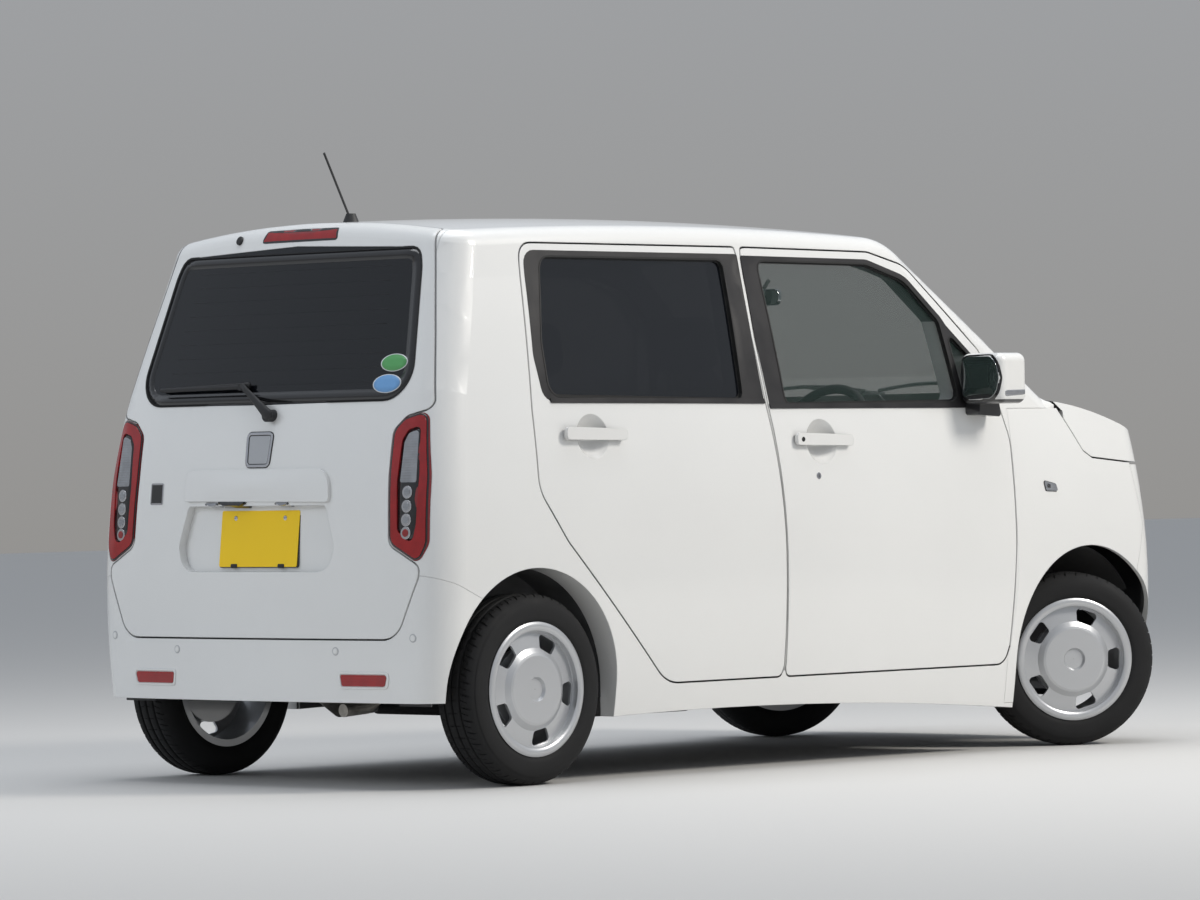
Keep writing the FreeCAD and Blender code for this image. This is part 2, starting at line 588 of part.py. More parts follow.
housing_rear = wheel_housing(REAR_AXLE_X, ARCH_R_REAR, REAR_HOUSING_IN)
housing_rear = housing_rear.cut(box(-1700, -800, -REAR_HOUSING_IN, -400, 0, REAR_FLOOR_Z))
housing_front = wheel_housing(FRONT_AXLE_X, ARCH_R_FRONT, FRONT_HOUSING_IN)
floor = fused([floor] + pair(housing_rear))

# Front running gear: the steering axis leans in at the top and carries the strut
TOWER_Z = 800.0
AXIS_LEAN = math.tan(math.radians(KINGPIN_TILT))
KINGPIN_Y = -(HALF_TRACK - KINGPIN_OFFSET)
STRUT_R = 21.0
SPRING_R = 48.0
BALL_Z = 190.0
BALL_R = 14.0
HUB_IN = 20.0
HUB_R = 52.0
DISC_R = 118.0


def on_axis(z):
    """Point of the right side's steering axis at one height."""
    return V(FRONT_AXLE_X, KINGPIN_Y + (z - TYRE_R) * AXIS_LEAN, z)


rail = box(BULKHEAD_X + FLOOR_T, 1560, -RAIL_OUT, -RAIL_IN, 330, 420)
tower = box(FRONT_AXLE_X - 70, FRONT_AXLE_X + 70, -RAIL_OUT, -RAIL_OUT + 12, 420, TOWER_Z + 12)
seat = box(FRONT_AXLE_X - 70, FRONT_AXLE_X + 70, -575, -RAIL_OUT + 12, TOWER_Z, TOWER_Z + 12)
leg = box(FRONT_AXLE_X - 90, FRONT_AXLE_X + 90, -RAIL_OUT, -RAIL_IN, 200, 330)
crossmember = box(FRONT_AXLE_X - 70, FRONT_AXLE_X + 70, -RAIL_OUT, RAIL_OUT, 176, 216)
nose_beam = box(1560, 1590, -540, 540, 330, 420)
tie_bar = box(1560, 1585, -RAIL_OUT - 40, RAIL_OUT + 40, 850, 875)
uprights = box(1560, 1585, -RAIL_OUT, -RAIL_IN, 400, 860)
brackets = [box(1580, 1700, -540, -500, 340, 400), box(1580, 1700, -260, -220, 852, 872)]
bonnet_stop = Part.makeCylinder(12, 300, V(1572, -300, 870))
front_mounts = [bracket.common(nose_room) for bracket in brackets + [bonnet_stop]]
ARM_END = on_axis(BALL_Z).y - BALL_R
arm_rows = [(FRONT_AXLE_X - 60, -RAIL_OUT, 0), (FRONT_AXLE_X - 15, ARM_END, 13), (FRONT_AXLE_X + 15, ARM_END, 13),
            (FRONT_AXLE_X + 60, -RAIL_OUT, 0)]
ARM_TOP = BALL_Z - BALL_R - TOUCH
lower_arm = prism("XY", arm_rows, ARM_TOP - 16, ARM_TOP)
lower_arm = lower_arm.fuse(box(FRONT_AXLE_X - 60, FRONT_AXLE_X + 60, -RAIL_OUT - 1, -RAIL_IN, ARM_TOP - 16, 177))
frame_solids = [crossmember, nose_beam, tie_bar]
for piece in [rail, tower, seat, leg, lower_arm, uprights] + front_mounts:
    frame_solids += pair(piece)
write("front_frame", [fused(frame_solids)])
strut_room = Part.makeCylinder(SPRING_R + 22, 900, on_axis(200), on_axis(300) - on_axis(200))
liner = housing_front.common(box(BULKHEAD_X + FLOOR_T + 1, 1560 - TOUCH, -HOUSING_OUT, -RAIL_OUT - TOUCH, 200, 1000)).cut(strut_room)
write("front_liners", pair(max(liner.Solids, key=lambda solid: solid.Volume)))


# Wheels, drawn on the right side about an axle through the origin
def turned_profile(rows):
    """Ring turned about the axle. A row is a line's end (y, r) or an arc's middle and end (y, r, y, r)."""
    edges = []
    here = V(0, rows[0][-2], rows[0][-1])
    for row in rows[1:] + rows[:1]:
        end = V(0, row[-2], row[-1])
        if len(row) == 4:
            edges.append(Part.Arc(here, V(0, row[0], row[1]), end).toShape())
        elif (end - here).Length > 1e-6:
            edges.append(Part.LineSegment(here, end).toShape())
        here = end
    return Part.Face(Part.Wire(edges)).revolve(V(0, 0, 0), V(0, 1, 0), 360)


TYRE_HALF = TYRE_W / 2
BEAD_Y = 55.0
COVER_SLOTS = 5
SLOT_PHASE = 25.0


def make_rim():
    """Rim barrel, domed cover with five slots, hub and brake disc as one casting."""
    barrel = turned_profile([(-74, 170), (-78, 186, -74, RIM_LIP_R), (-70, RIM_LIP_R - 2), (-66, RIM_SEAT_R),
                             (62, RIM_SEAT_R), (66, RIM_LIP_R - 4), (70, RIM_LIP_R - 4), (70, 170)])
    dome = turned_profile([(-70, 176), (-54, 168), (-62, 120), (-72, 104), (-74, 97), (-74, 36), (-66, 30), (-66, 1),
                           (-54, 1), (-56, 100), (-46, 172), (-56, 178)])
    slot = prism("XZ", [(-26, 118, 10), (26, 118, 10), (40, 160, 12), (-40, 160, 12)], -100, 0)
    for k in range(COVER_SLOTS):
        turned_slot = slot.copy()
        turned_slot.rotate(V(0, 0, 0), V(0, 1, 0), SLOT_PHASE + 360.0 * k / COVER_SLOTS)
        dome = dome.cut(turned_slot)
    hub = Part.makeCylinder(HUB_R, 60 + HUB_IN, V(0, -60, 0), V(0, 1, 0))
    disc = Part.makeCylinder(DISC_R, 20, V(0, -20, 0), V(0, 1, 0))
    return fused([barrel, dome, hub, disc])


def make_tyre():
    return turned_profile([(-BEAD_Y, 181), (-TYRE_HALF, 230, -64, 266), (-58, 273, -48, 275.5), (0, TYRE_R, 48, 275.5),
                           (58, 273, 64, 266), (TYRE_HALF, 230, BEAD_Y, 181)])


rim = make_rim()
tyre = make_tyre().cut(rim)


def steered(shape):
    """Right front piece, drawn straight ahead, turned to the parked steering angle."""
    copy = shape.copy()
    copy.rotate(on_axis(TYRE_R), on_axis(TYRE_R + 100) - on_axis(TYRE_R), STEER_AT_REST)
    return copy


def placed(shape, x, y, z):
    copy = shape.copy()
    copy.translate(V(x, y, z))
    return copy


STRUT_FOOT = V(FRONT_AXLE_X, -530, 412)
strut = on_axis(TOWER_Z - 6) - STRUT_FOOT
knuckle_parts = [
    Part.makeCylinder(46, 44, V(FRONT_AXLE_X, -HALF_TRACK + HUB_IN + TOUCH, TYRE_R), V(0, 1, 0)),
    tube_along([V(FRONT_AXLE_X, -596, TYRE_R + 20), STRUT_FOOT], 18),
    tube_along([V(FRONT_AXLE_X, -600, TYRE_R), on_axis(BALL_Z)], 12),
    Part.makeSphere(BALL_R, on_axis(BALL_Z)),
    Part.makeCylinder(STRUT_R, strut.Length, STRUT_FOOT, strut),
    Part.makeCylinder(SPRING_R, 160, STRUT_FOOT + strut * 0.5, strut),
    tube_along([V(FRONT_AXLE_X, -600, TYRE_R), V(FRONT_AXLE_X - 110, -598, TYRE_R - 20)], 11)]
knuckle = fused(knuckle_parts)

# A turned wheel leans a little on its slanted axis, so each front wheel is set to the height where it just touches
front_lift = {}
for name, side in SIDES:
    axis_point = on_axis(TYRE_R)
    axis_dir = on_axis(TYRE_R + 100) - axis_point
    if side > 0:
        axis_point = V(axis_point.x, -axis_point.y, axis_point.z)
        axis_dir = V(0, -axis_dir.y, axis_dir.z)
    pieces = {}
    for piece, shape in (("tyre", tyre), ("wheel", rim)):
        straight = for_side(placed(shape, FRONT_AXLE_X, -HALF_TRACK, TYRE_R), side)
        straight.rotate(axis_point, axis_dir, STEER_AT_REST)
        pieces[piece] = straight
    lift = -min(p.z for p in pieces["tyre"].tessellate(0.2)[0])
    front_lift[name] = lift
    for piece, shape in pieces.items():
        write(piece + "_front_" + name, [placed(shape, 0, 0, lift)])
    upright = for_side(knuckle.copy(), side)
    upright.rotate(axis_point, axis_dir, STEER_AT_REST)
    write("knuckle_" + name, [placed(upright, 0, 0, lift)])
    for piece, shape in (("tyre", tyre), ("wheel", rim)):
        write(piece + "_rear_" + name, [for_side(placed(shape, REAR_AXLE_X, -HALF_TRACK, TYRE_R), side)])
print("front wheel lift", front_lift)

# Rear axle beam with trailing arms, spring cups and dampers
BEAM_X = -1085.0
BEAM_Z = 285.0
axle_parts = [Part.makeCylinder(38, 1080, V(BEAM_X, -540, BEAM_Z), V(0, 1, 0))]
for side in (-1, 1):
    y_in, y_out = sorted((side * 500, side * 548))
    axle_parts.append(box(REAR_AXLE_X - 30, BEAM_X, y_in, y_out, BEAM_Z - 34, BEAM_Z + 26))
    axle_parts.append(box(BEAM_X, KICK_UP_X - FLOOR_T - TOUCH, side * 460 - 24, side * 460 + 24, BEAM_Z - 24, BEAM_Z + 24))
    hub_end = side * (HALF_TRACK - HUB_IN - TOUCH)
    axle_parts.append(Part.makeCylinder(46, abs(hub_end) - 510, V(REAR_AXLE_X, side * 510, TYRE_R), V(0, side, 0)))
    axle_parts.append(Part.makeCylinder(50, REAR_FLOOR_Z - TOUCH - BEAM_Z, V(BEAM_X, side * 400, BEAM_Z), V(0, 0, 1)))
    axle_parts.append(Part.makeCylinder(20, REAR_FLOOR_Z - TOUCH - 262, V(REAR_AXLE_X - 10, side * 505, 262), V(0, 0, 1)))
write("rear_axle", [fused(axle_parts)])

# Under the floor
tank = box(-830, -260, -420, 420, 168, FLOOR_Z - TOUCH)
write("fuel_tank", [tank.makeFillet(24, [e for e in tank.Edges if e.CenterOfMass.z < FLOOR_Z - 2])])
muffler = Part.makeCylinder(72, 520, V(-1440, -420, 318), V(0, 1, 0))
pipe = tube_along([V(985, 60, 212), V(-120, 60, 212), V(-240, 470, 212), V(-860, 470, 205), V(-930, 300, 200),
                   V(-1180, 180, 200), V(-1440, 60, 300)], 22)
tail = tube_along([V(-1440, -330, 300), V(-1560, -330, 232), V(-1655, -330, 226)], 19)
hangers = [box(-1446, -1434, y - 10, y + 10, 380, REAR_FLOOR_Z - TOUCH) for y in (-330, 20)]
write("exhaust", [fused([muffler, pipe, tail] + hangers)])
engine = box(1070, 1440, -300, 250, 250, 760)
engine = engine.makeFillet(20, engine.Edges)
engine_mounts = [box(1200, 1270, -RAIL_IN + TOUCH, -280, 345, 405), box(1200, 1270, 230, RAIL_IN - TOUCH, 345, 405)]
write("engine", [engine.fuse(engine_mounts)])

# Cabin
SEAT_MID = 330.0
SEAT_HALF = 235.0
SEAT_BASE = FLOOR_Z + FLOOR_T + TOUCH
REAR_SEAT_BASE = REAR_FLOOR_Z + FLOOR_T + TOUCH
seat_rows = [(-60, 470, 20), (-10, SEAT_BASE, 0), (400, SEAT_BASE, 0), (430, 470, 20), (475, 560, 30), (430, 640, 30),
             (50, 610, 50), (-110, 1150, 20), (-190, 1170, 20), (-230, 1120, 20), (-90, 520, 20)]
front_seat = prism("XZ", seat_rows, -SEAT_MID - SEAT_HALF, -SEAT_MID + SEAT_HALF)
rest_rows = [(-155, 1196, 20), (-165, 1350, 25), (-235, 1365, 25), (-235, 1200, 20)]
head_rest = prism("XZ", rest_rows, -SEAT_MID - 125, -SEAT_MID + 125)
posts = [Part.makeCylinder(6, 120, V(-180, -SEAT_MID + dy, 1120), V(0, 0, 1)) for dy in (-60, 60)]
write("front_seats", pair(front_seat.fuse(posts + [head_rest])))
bench_rows = [(-845, SEAT_BASE, 0), (-500, SEAT_BASE, 20), (-470, 560, 30), (-510, 640, 30), (-960, 610, 50), (-1105, 1130, 20),
              (-1180, 1140, 20), (-1215, 1090, 20), (-1080, REAR_SEAT_BASE, 0), (-845, REAR_SEAT_BASE, 0)]
bench = prism("XZ", bench_rows, -506, 506)
rear_rests = []
for y in (-270, 270):
    rear_rests.append(prism("XZ", [(-1120, 1165, 18), (-1135, 1300, 20), (-1200, 1310, 20), (-1200, 1170, 18)],
                            y - 115, y + 115))
    rear_rests.append(Part.makeCylinder(6, 110, V(-1158, y, 1090), V(0, 0, 1)))
write("rear_seat", [bench.fuse(rear_rests)])
WHEEL_CENTRE = V(440, -SEAT_MID, 985)
COLUMN_DIR = V(math.cos(math.radians(25)), 0, -math.sin(math.radians(25)))
dash_rows = [(BULKHEAD_X - TOUCH, 560, 0), (800, 600, 40), (690, 720, 60), (680, 880, 60), (760, 960, 60),
             (BULKHEAD_X - TOUCH, 985, 0)]
dashboard = prism("XZ", dash_rows, -596, 596)
column = Part.makeCylinder(34, 330, WHEEL_CENTRE + COLUMN_DIR * 60, COLUMN_DIR)
column = column.common(box(0, BULKHEAD_X - TOUCH, -700, 0, 0, 1200))
write("dashboard", [dashboard.fuse(column)])
grip = Part.makeTorus(178, 15, WHEEL_CENTRE, COLUMN_DIR)
boss = Part.makeCylinder(62, 44, WHEEL_CENTRE - COLUMN_DIR * 4, COLUMN_DIR)
boss = boss.fuse(Part.makeCylinder(30, 60 - TOUCH, WHEEL_CENTRE, COLUMN_DIR))
spokes = [tube_along([WHEEL_CENTRE + COLUMN_DIR * 16, WHEEL_CENTRE + V(0, math.sin(a), 0) * 176
                      + V(math.sin(math.radians(25)), 0, math.cos(math.radians(25))) * 176 * math.cos(a)], 13)
          for a in (math.radians(100), math.radians(-100), math.radians(180))]
write("steering_wheel", [fused([grip, boss] + spokes)])
COWL_BACK = BULKHEAD_X + FLOOR_T + TOUCH
cowl_rows = [(COWL_BACK, 1015, 0), (1250, 1015, 0), (1250, 1040, 0), (COWL_BACK, 1060, 0)]
write("cowl", [prism("XZ", cowl_rows, -600, 600)])
riser = box(BULKHEAD_X, BULKHEAD_X + FLOOR_T, -CABIN_HALF + 20, CABIN_HALF - 20, 900, 1060)
write("floor_pan", [fused([floor, riser])])

# Small pieces outside
WIPER_PIVOT = V(-1658, -40, 1080)
WIPER_ELBOW = V(-1634, 97, 1166)
WIPER_END = V(-1618, 456, 1163)
wiper = Part.makeCylinder(18, 40, WIPER_PIVOT - V(10, 0, 0), V(1, 0, 0)).cut(OUTER)
wiper = wiper.fuse(Part.makeCylinder(10, 18, WIPER_ELBOW - V(9, 0, 0), V(1, 0, 0)))
for start, end in ((WIPER_PIVOT, WIPER_ELBOW), (WIPER_ELBOW, WIPER_END)):
    wiper = wiper.fuse(Part.makeCylinder(6.5, (end - start).Length, start, end - start))
write("rear_wiper", [wiper])
antenna = tube_along([V(-1275, 0, 1662), V(-1378, 0, 1855)], 3.5)
antenna = antenna.fuse(Part.makeCone(26, 14, 30, V(-1272, 0, 1648), V(0, 0, 1))).cut(OUTER)
write("antenna", [max(antenna.Solids, key=lambda solid: solid.Volume)])
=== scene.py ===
# %% [markdown]
# # Kei car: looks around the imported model
# Each cell makes one group of things and prints what it made. Lengths are metres in the model's own frame:
# +X forward, +Y to the car's left, +Z up, the origin on the ground.

# %% Start: load the frame
import json
from math import copysign, cos, exp, hypot, pi, radians, sin, sqrt, tan
import bpy
import bmesh
import numpy as np
from mathutils import Matrix, Vector
from mathutils.bvhtree import BVHTree
from mathutils.geometry import delaunay_2d_cdt


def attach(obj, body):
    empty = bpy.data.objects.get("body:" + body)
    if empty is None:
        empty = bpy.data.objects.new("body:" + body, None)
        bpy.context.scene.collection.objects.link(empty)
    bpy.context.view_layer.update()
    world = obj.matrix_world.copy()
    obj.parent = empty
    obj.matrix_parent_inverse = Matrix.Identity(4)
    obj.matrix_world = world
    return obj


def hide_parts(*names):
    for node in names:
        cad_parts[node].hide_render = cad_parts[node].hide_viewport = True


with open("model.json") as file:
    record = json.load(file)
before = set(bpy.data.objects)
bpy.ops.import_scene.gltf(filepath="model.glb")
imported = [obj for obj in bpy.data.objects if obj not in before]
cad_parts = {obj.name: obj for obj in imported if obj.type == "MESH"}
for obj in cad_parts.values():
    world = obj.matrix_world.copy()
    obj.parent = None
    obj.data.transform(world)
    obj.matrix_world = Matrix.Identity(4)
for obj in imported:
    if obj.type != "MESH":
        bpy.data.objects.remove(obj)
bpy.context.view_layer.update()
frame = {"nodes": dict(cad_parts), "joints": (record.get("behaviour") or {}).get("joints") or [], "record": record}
NODES = frame["nodes"]


# %% Camera at the photograph's place
def new_object(name, data):
    """Object with its data, linked into the scene."""
    made = bpy.data.objects.new(name, data)
    bpy.context.scene.collection.objects.link(made)
    return made


CAMERA_AT = Vector((-13.332, -12.4935, 0.920))
YAW, PITCH, ROLL = radians(43.614), radians(0.147), radians(-0.99)
FOCAL_PX, PHOTO_W, SENSOR = 5852.9, 1200.0, 36.0
ahead = Vector((cos(YAW) * cos(PITCH), sin(YAW) * cos(PITCH), sin(PITCH)))
level = Vector((sin(YAW), -cos(YAW), 0.0))
over = level.cross(ahead)
right = cos(ROLL) * level + sin(ROLL) * over
above = -sin(ROLL) * level + cos(ROLL) * over
camera = new_object("camera", bpy.data.cameras.new("camera"))
camera.data.lens = FOCAL_PX / PHOTO_W * SENSOR
camera.data.sensor_width = SENSOR
camera.data.clip_start = 0.5
camera.data.clip_end = 200.0
camera.matrix_world = Matrix.Translation(CAMERA_AT) @ Matrix((right, above, -ahead)).transposed().to_4x4()
bpy.context.scene.camera = camera
print("camera lens", round(camera.data.lens, 1))


# %% Material helpers
def feed(tree, socket, value):
    """Links an input to another node's output, or sets its value."""
    if isinstance(value, bpy.types.NodeSocket):
        tree.links.new(value, socket)
    else:
        socket.default_value = value


def add(tree, kind, inputs=None, **settings):
    """New node. inputs gives its inputs, by name or place, their values or the sockets that feed them."""
    node = tree.nodes.new(kind)
    for key, value in settings.items():
        setattr(node, key, value)
    for key, value in (inputs or {}).items():
        feed(tree, node.inputs[key], value)
    return node


def object_place(tree):
    return add(tree, "ShaderNodeTexCoord").outputs["Object"]


def noise_at(tree, scale, detail=2.0, roughness=0.5):
    return add(tree, "ShaderNodeTexNoise", {"Scale": scale, "Detail": detail, "Roughness": roughness,
                                            "Vector": object_place(tree)}).outputs["Fac"]


def wave_at(tree, direction, scale, distortion=0.0):
    inputs = {"Scale": scale, "Distortion": distortion, "Vector": object_place(tree)}
    return add(tree, "ShaderNodeTexWave", inputs, bands_direction=direction).outputs["Fac"]


def spread(tree, source, low, high, start=0.0, end=1.0):
    """The value's range start..end brought to low..high."""
    return add(tree, "ShaderNodeMapRange", {"Value": source, "From Min": start, "From Max": end, "To Min": low,
                                            "To Max": high}).outputs["Result"]


def combine(tree, operation, a, b):
    return add(tree, "ShaderNodeMath", {0: a, 1: b}, operation=operation).outputs[0]


def mix_colour(tree, factor, first, second):
    return add(tree, "ShaderNodeMix", {"Factor": factor, 6: first, 7: second}, data_type="RGBA").outputs[2]


# Shared effects: each gives a shade, a gloss change and a relief height
def painted(tree):
    flake, orange_peel, haze = noise_at(tree, 900.0, 1.0), noise_at(tree, 120.0), noise_at(tree, 1.6, 3.0)
    return spread(tree, haze, 0.965, 1.0, 0.3, 0.7), spread(tree, flake, -0.05, 0.06, 0.3, 0.7), orange_peel


def grained(tree):
    grain, wear = noise_at(tree, 1400.0, 3.0, 0.6), noise_at(tree, 9.0, 4.0, 0.6)
    return spread(tree, wear, 0.8, 1.25, 0.3, 0.7), spread(tree, wear, -0.08, 0.1, 0.3, 0.7), grain


def dusty(tree):
    dust, pits = noise_at(tree, 14.0, 6.0, 0.65), noise_at(tree, 260.0, 4.0, 0.6)
    return spread(tree, dust, 0.75, 1.6, 0.35, 0.7), spread(tree, dust, -0.1, 0.15, 0.3, 0.7), pits


def woven(tree):
    weave = combine(tree, "MAXIMUM", wave_at(tree, "X", 260.0, 0.6), wave_at(tree, "Z", 260.0, 0.6))
    fade = noise_at(tree, 7.0, 4.0)
    return spread(tree, fade, 0.8, 1.2, 0.3, 0.7), spread(tree, fade, -0.03, 0.03), weave


def lens_ribs(tree):
    film = noise_at(tree, 30.0, 3.0)
    return spread(tree, film, 0.85, 1.1, 0.3, 0.7), spread(tree, film, 0.0, 0.05), wave_at(tree, "Z", 42.0)


def effect(build):
    """Node group of one shared effect."""
    group = bpy.data.node_groups.new(build.__name__, "ShaderNodeTree")
    out = group.nodes.new("NodeGroupOutput")
    for label, source in zip(("Shade", "Gloss", "Height"), build(group)):
        group.interface.new_socket(name=label, in_out="OUTPUT", socket_type="NodeSocketFloat")
        group.links.new(source, out.inputs[label])
    return group


EFFECTS = {build.__name__: effect(build) for build in (painted, grained, dusty, woven, lens_ribs)}
COAT_ROUGHNESS = 0.03


def material(name, colour, roughness, look, relief=0.05, distance=0.0005, metallic=0.0, coat=0.0, alpha=1.0,
             sheen=0.0, inner=None, soft_edge=0.0, specular=0.5):
    """Material that takes its variation from one shared effect. inner = colour of faces turned inwards."""
    made = bpy.data.materials.new(name)
    made.use_nodes = True
    tree = made.node_tree
    varied = add(tree, "ShaderNodeGroup", node_tree=EFFECTS[look]).outputs
    tint = add(tree, "ShaderNodeVectorMath", {0: colour, "Scale": varied["Shade"]}, operation="SCALE")
    shown = tint.outputs[0]
    if inner:
        shown = mix_colour(tree, turned_inwards(tree), shown, inner)
    bump = add(tree, "ShaderNodeBump", {"Strength": relief, "Distance": distance, "Height": varied["Height"]})
    if soft_edge:
        bevel = add(tree, "ShaderNodeBevel", {"Radius": soft_edge}, samples=4)
        feed(tree, bump.inputs["Normal"], bevel.outputs["Normal"])
    for label, value in (("Metallic", metallic), ("Coat Weight", coat), ("Coat Roughness", COAT_ROUGHNESS),
                         ("Alpha", alpha), ("Sheen Weight", sheen), ("Specular IOR Level", specular),
                         ("Base Color", shown), ("Roughness", combine(tree, "ADD", varied["Gloss"], roughness)),
                         ("Normal", bump.outputs["Normal"])):
        feed(tree, tree.nodes["Principled BSDF"].inputs[label], value)
    made.diffuse_color = (*colour, 1.0)
    return made


# A face looks inwards when its normal points towards the middle line at CABIN_Z, with its slope along the car
# weighing LENGTH_SHARE. The plate's recess, behind RECESS_X and below RECESS_TOP, keeps its paint.
CABIN_Z, LENGTH_SHARE = 1.0, 0.25
INWARD_FULL, INWARD_NONE = -0.32, -0.28
RECESS_X, RECESS_TOP = -1.618, 0.835


def turned_inwards(tree):
    """One where a face of the shell looks towards the cabin, for the trim behind the painted skin."""
    geometry = add(tree, "ShaderNodeNewGeometry").outputs
    middle = add(tree, "ShaderNodeVectorMath", {0: geometry["Position"], 1: (0.0, 0.0, CABIN_Z)},
                 operation="SUBTRACT")
    flat = add(tree, "ShaderNodeVectorMath", {0: middle.outputs[0], 1: (LENGTH_SHARE, 1.0, 1.0)},
               operation="MULTIPLY")
    dot = add(tree, "ShaderNodeVectorMath", {0: flat.outputs[0], 1: geometry["True Normal"]},
              operation="DOT_PRODUCT")
    mask = spread(tree, dot.outputs["Value"], 1.0, 0.0, INWARD_FULL, INWARD_NONE)
    place = add(tree, "ShaderNodeSeparateXYZ", {0: geometry["Position"]}).outputs
    recess = combine(tree, "MULTIPLY", combine(tree, "LESS_THAN", place["X"], RECESS_X),
                     combine(tree, "LESS_THAN", place["Z"], RECESS_TOP))
    return combine(tree, "MULTIPLY", mask, combine(tree, "SUBTRACT", 1.0, recess))


# %% Materials
PAINT = material("white_pearl", (0.78, 0.78, 0.765), 0.32, "painted", 0.02, 0.0004, coat=0.8,
                 inner=(0.030, 0.030, 0.032, 1.0), soft_edge=0.004)
BLACK = material("gloss_black", (0.012, 0.012, 0.013), 0.18, "painted", 0.02, 0.0003, coat=0.6)
SASH = material("black_sash", (0.018, 0.017, 0.018), 0.42, "grained", 0.12, 0.0002, specular=0.4)
TRIM = material("black_trim", (0.022, 0.022, 0.023), 0.55, "grained", 0.4, 0.0003)
SEAL = material("rubber_seal", (0.012, 0.012, 0.012), 0.62, "dusty", 0.2, 0.0003)
DARK_GLASS = material("privacy_glass", (0.004, 0.005, 0.007), 0.035, "painted", 0.0, 0.0003, coat=0.3,
                      alpha=0.88)
FRONT_GLASS = material("green_glass", (0.030, 0.055, 0.045), 0.035, "painted", 0.0, 0.0003, coat=0.4,
                       alpha=0.24)
RED = material("red_lens", (0.30, 0.006, 0.008), 0.10, "lens_ribs", 0.10, 0.0008, coat=0.5)
DEEP_RED = material("deep_red_lens", (0.24, 0.006, 0.008), 0.06, "lens_ribs", 0.03, 0.0006, coat=1.0)
CLEAR = material("clear_lens", (0.36, 0.37, 0.39), 0.16, "lens_ribs", 0.35, 0.001, metallic=0.6, coat=0.6)
CHROME = material("bright_metal", (0.62, 0.62, 0.64), 0.12, "painted", 0.01, 0.0002, metallic=1.0)
SILVER = material("silver_cover", (0.52, 0.53, 0.545), 0.33, "painted", 0.05, 0.0003, metallic=0.55, coat=0.5)
TYRE = material("tyre_rubber", (0.011, 0.011, 0.0115), 0.72, "dusty", 0.35, 0.0006, specular=0.3)
CHASSIS = material("underbody_black", (0.020, 0.020, 0.021), 0.72, "dusty", 0.5, 0.0008)
FLOOR_METAL = material("floor_metal", (0.055, 0.055, 0.057), 0.65, "dusty", 0.4, 0.0008)
STEEL = material("exhaust_steel", (0.33, 0.31, 0.28), 0.42, "dusty", 0.3, 0.0005, metallic=0.9)
ALLOY = material("cast_alloy", (0.35, 0.35, 0.36), 0.5, "dusty", 0.6, 0.001, metallic=0.7)
FABRIC = material("seat_fabric", (0.115, 0.112, 0.108), 0.88, "woven", 0.5, 0.0006, sheen=0.3)
CABIN = material("cabin_plastic", (0.045, 0.045, 0.047), 0.58, "grained", 0.45, 0.0004)
PLATE = material("plate_yellow", (0.95, 0.62, 0.006), 0.40, "painted", 0.05, 0.0004, coat=0.2)
MIRROR = material("mirror_glass", (0.60, 0.63, 0.64), 0.02, "painted", 0.0, 0.0002, metallic=1.0)
STICKER_GREEN, STICKER_BLUE, STICKER_EDGE = [
    material("sticker_" + label, colour, 0.4, "painted", 0.02, 0.0002) for label, colour in (
        ("green", (0.10, 0.36, 0.12)), ("blue", (0.16, 0.36, 0.66)), ("edge", (0.75, 0.77, 0.78)))]

# The mirror shells are painted above a black foot
MIRROR_FOOT_TOP, FOOT_BLACK = 1.103, (0.018, 0.018, 0.019, 1.0)
MIRROR_SHELL = PAINT.copy()
MIRROR_SHELL.name = "mirror_shell"
tree = MIRROR_SHELL.node_tree
height = add(tree, "ShaderNodeSeparateXYZ", {0: object_place(tree)}).outputs["Z"]
base = tree.nodes["Principled BSDF"].inputs["Base Color"]
foot_mask = combine(tree, "LESS_THAN", height, MIRROR_FOOT_TOP)
feed(tree, base, mix_colour(tree, foot_mask, base.links[0].from_socket, FOOT_BLACK))

SLOT_LOOK = {"white_paint": PAINT, "black_trim": TRIM, "gloss_black": BLACK, "front_glass": FRONT_GLASS,
             "dark_glass": DARK_GLASS, "lamp_red": DEEP_RED, "lamp_clear": CLEAR, "tyre_rubber": TYRE,
             "wheel_silver": SILVER, "chassis_black": CHASSIS, "floor_metal": FLOOR_METAL,
             "exhaust_steel": STEEL, "engine_metal": ALLOY, "seat_fabric": FABRIC, "cabin_plastic": CABIN}
LOOK_SLOT = {look.name: slot for slot, look in SLOT_LOOK.items()}
LOOK_SLOT |= {"rubber_seal": "black_trim", "black_sash": "black_trim", "bright_metal": "exhaust_steel",
              "mirror_glass": "exhaust_steel", "red_lens": "lamp_red", "plate_yellow": "white_paint",
              "sticker_green": "gloss_black", "sticker_blue": "gloss_black", "sticker_edge": "gloss_black"}
SLOT_OF = {row["node"]: row["material_slot"] for row in frame["record"]["subparts"]}
for name, node in NODES.items():
    for holder in node.material_slots:
        holder.material = MIRROR_SHELL if name.startswith("mirror_") else SLOT_LOOK[SLOT_OF[name]]
print("materials", len(bpy.data.materials), "dressed nodes", len(NODES))


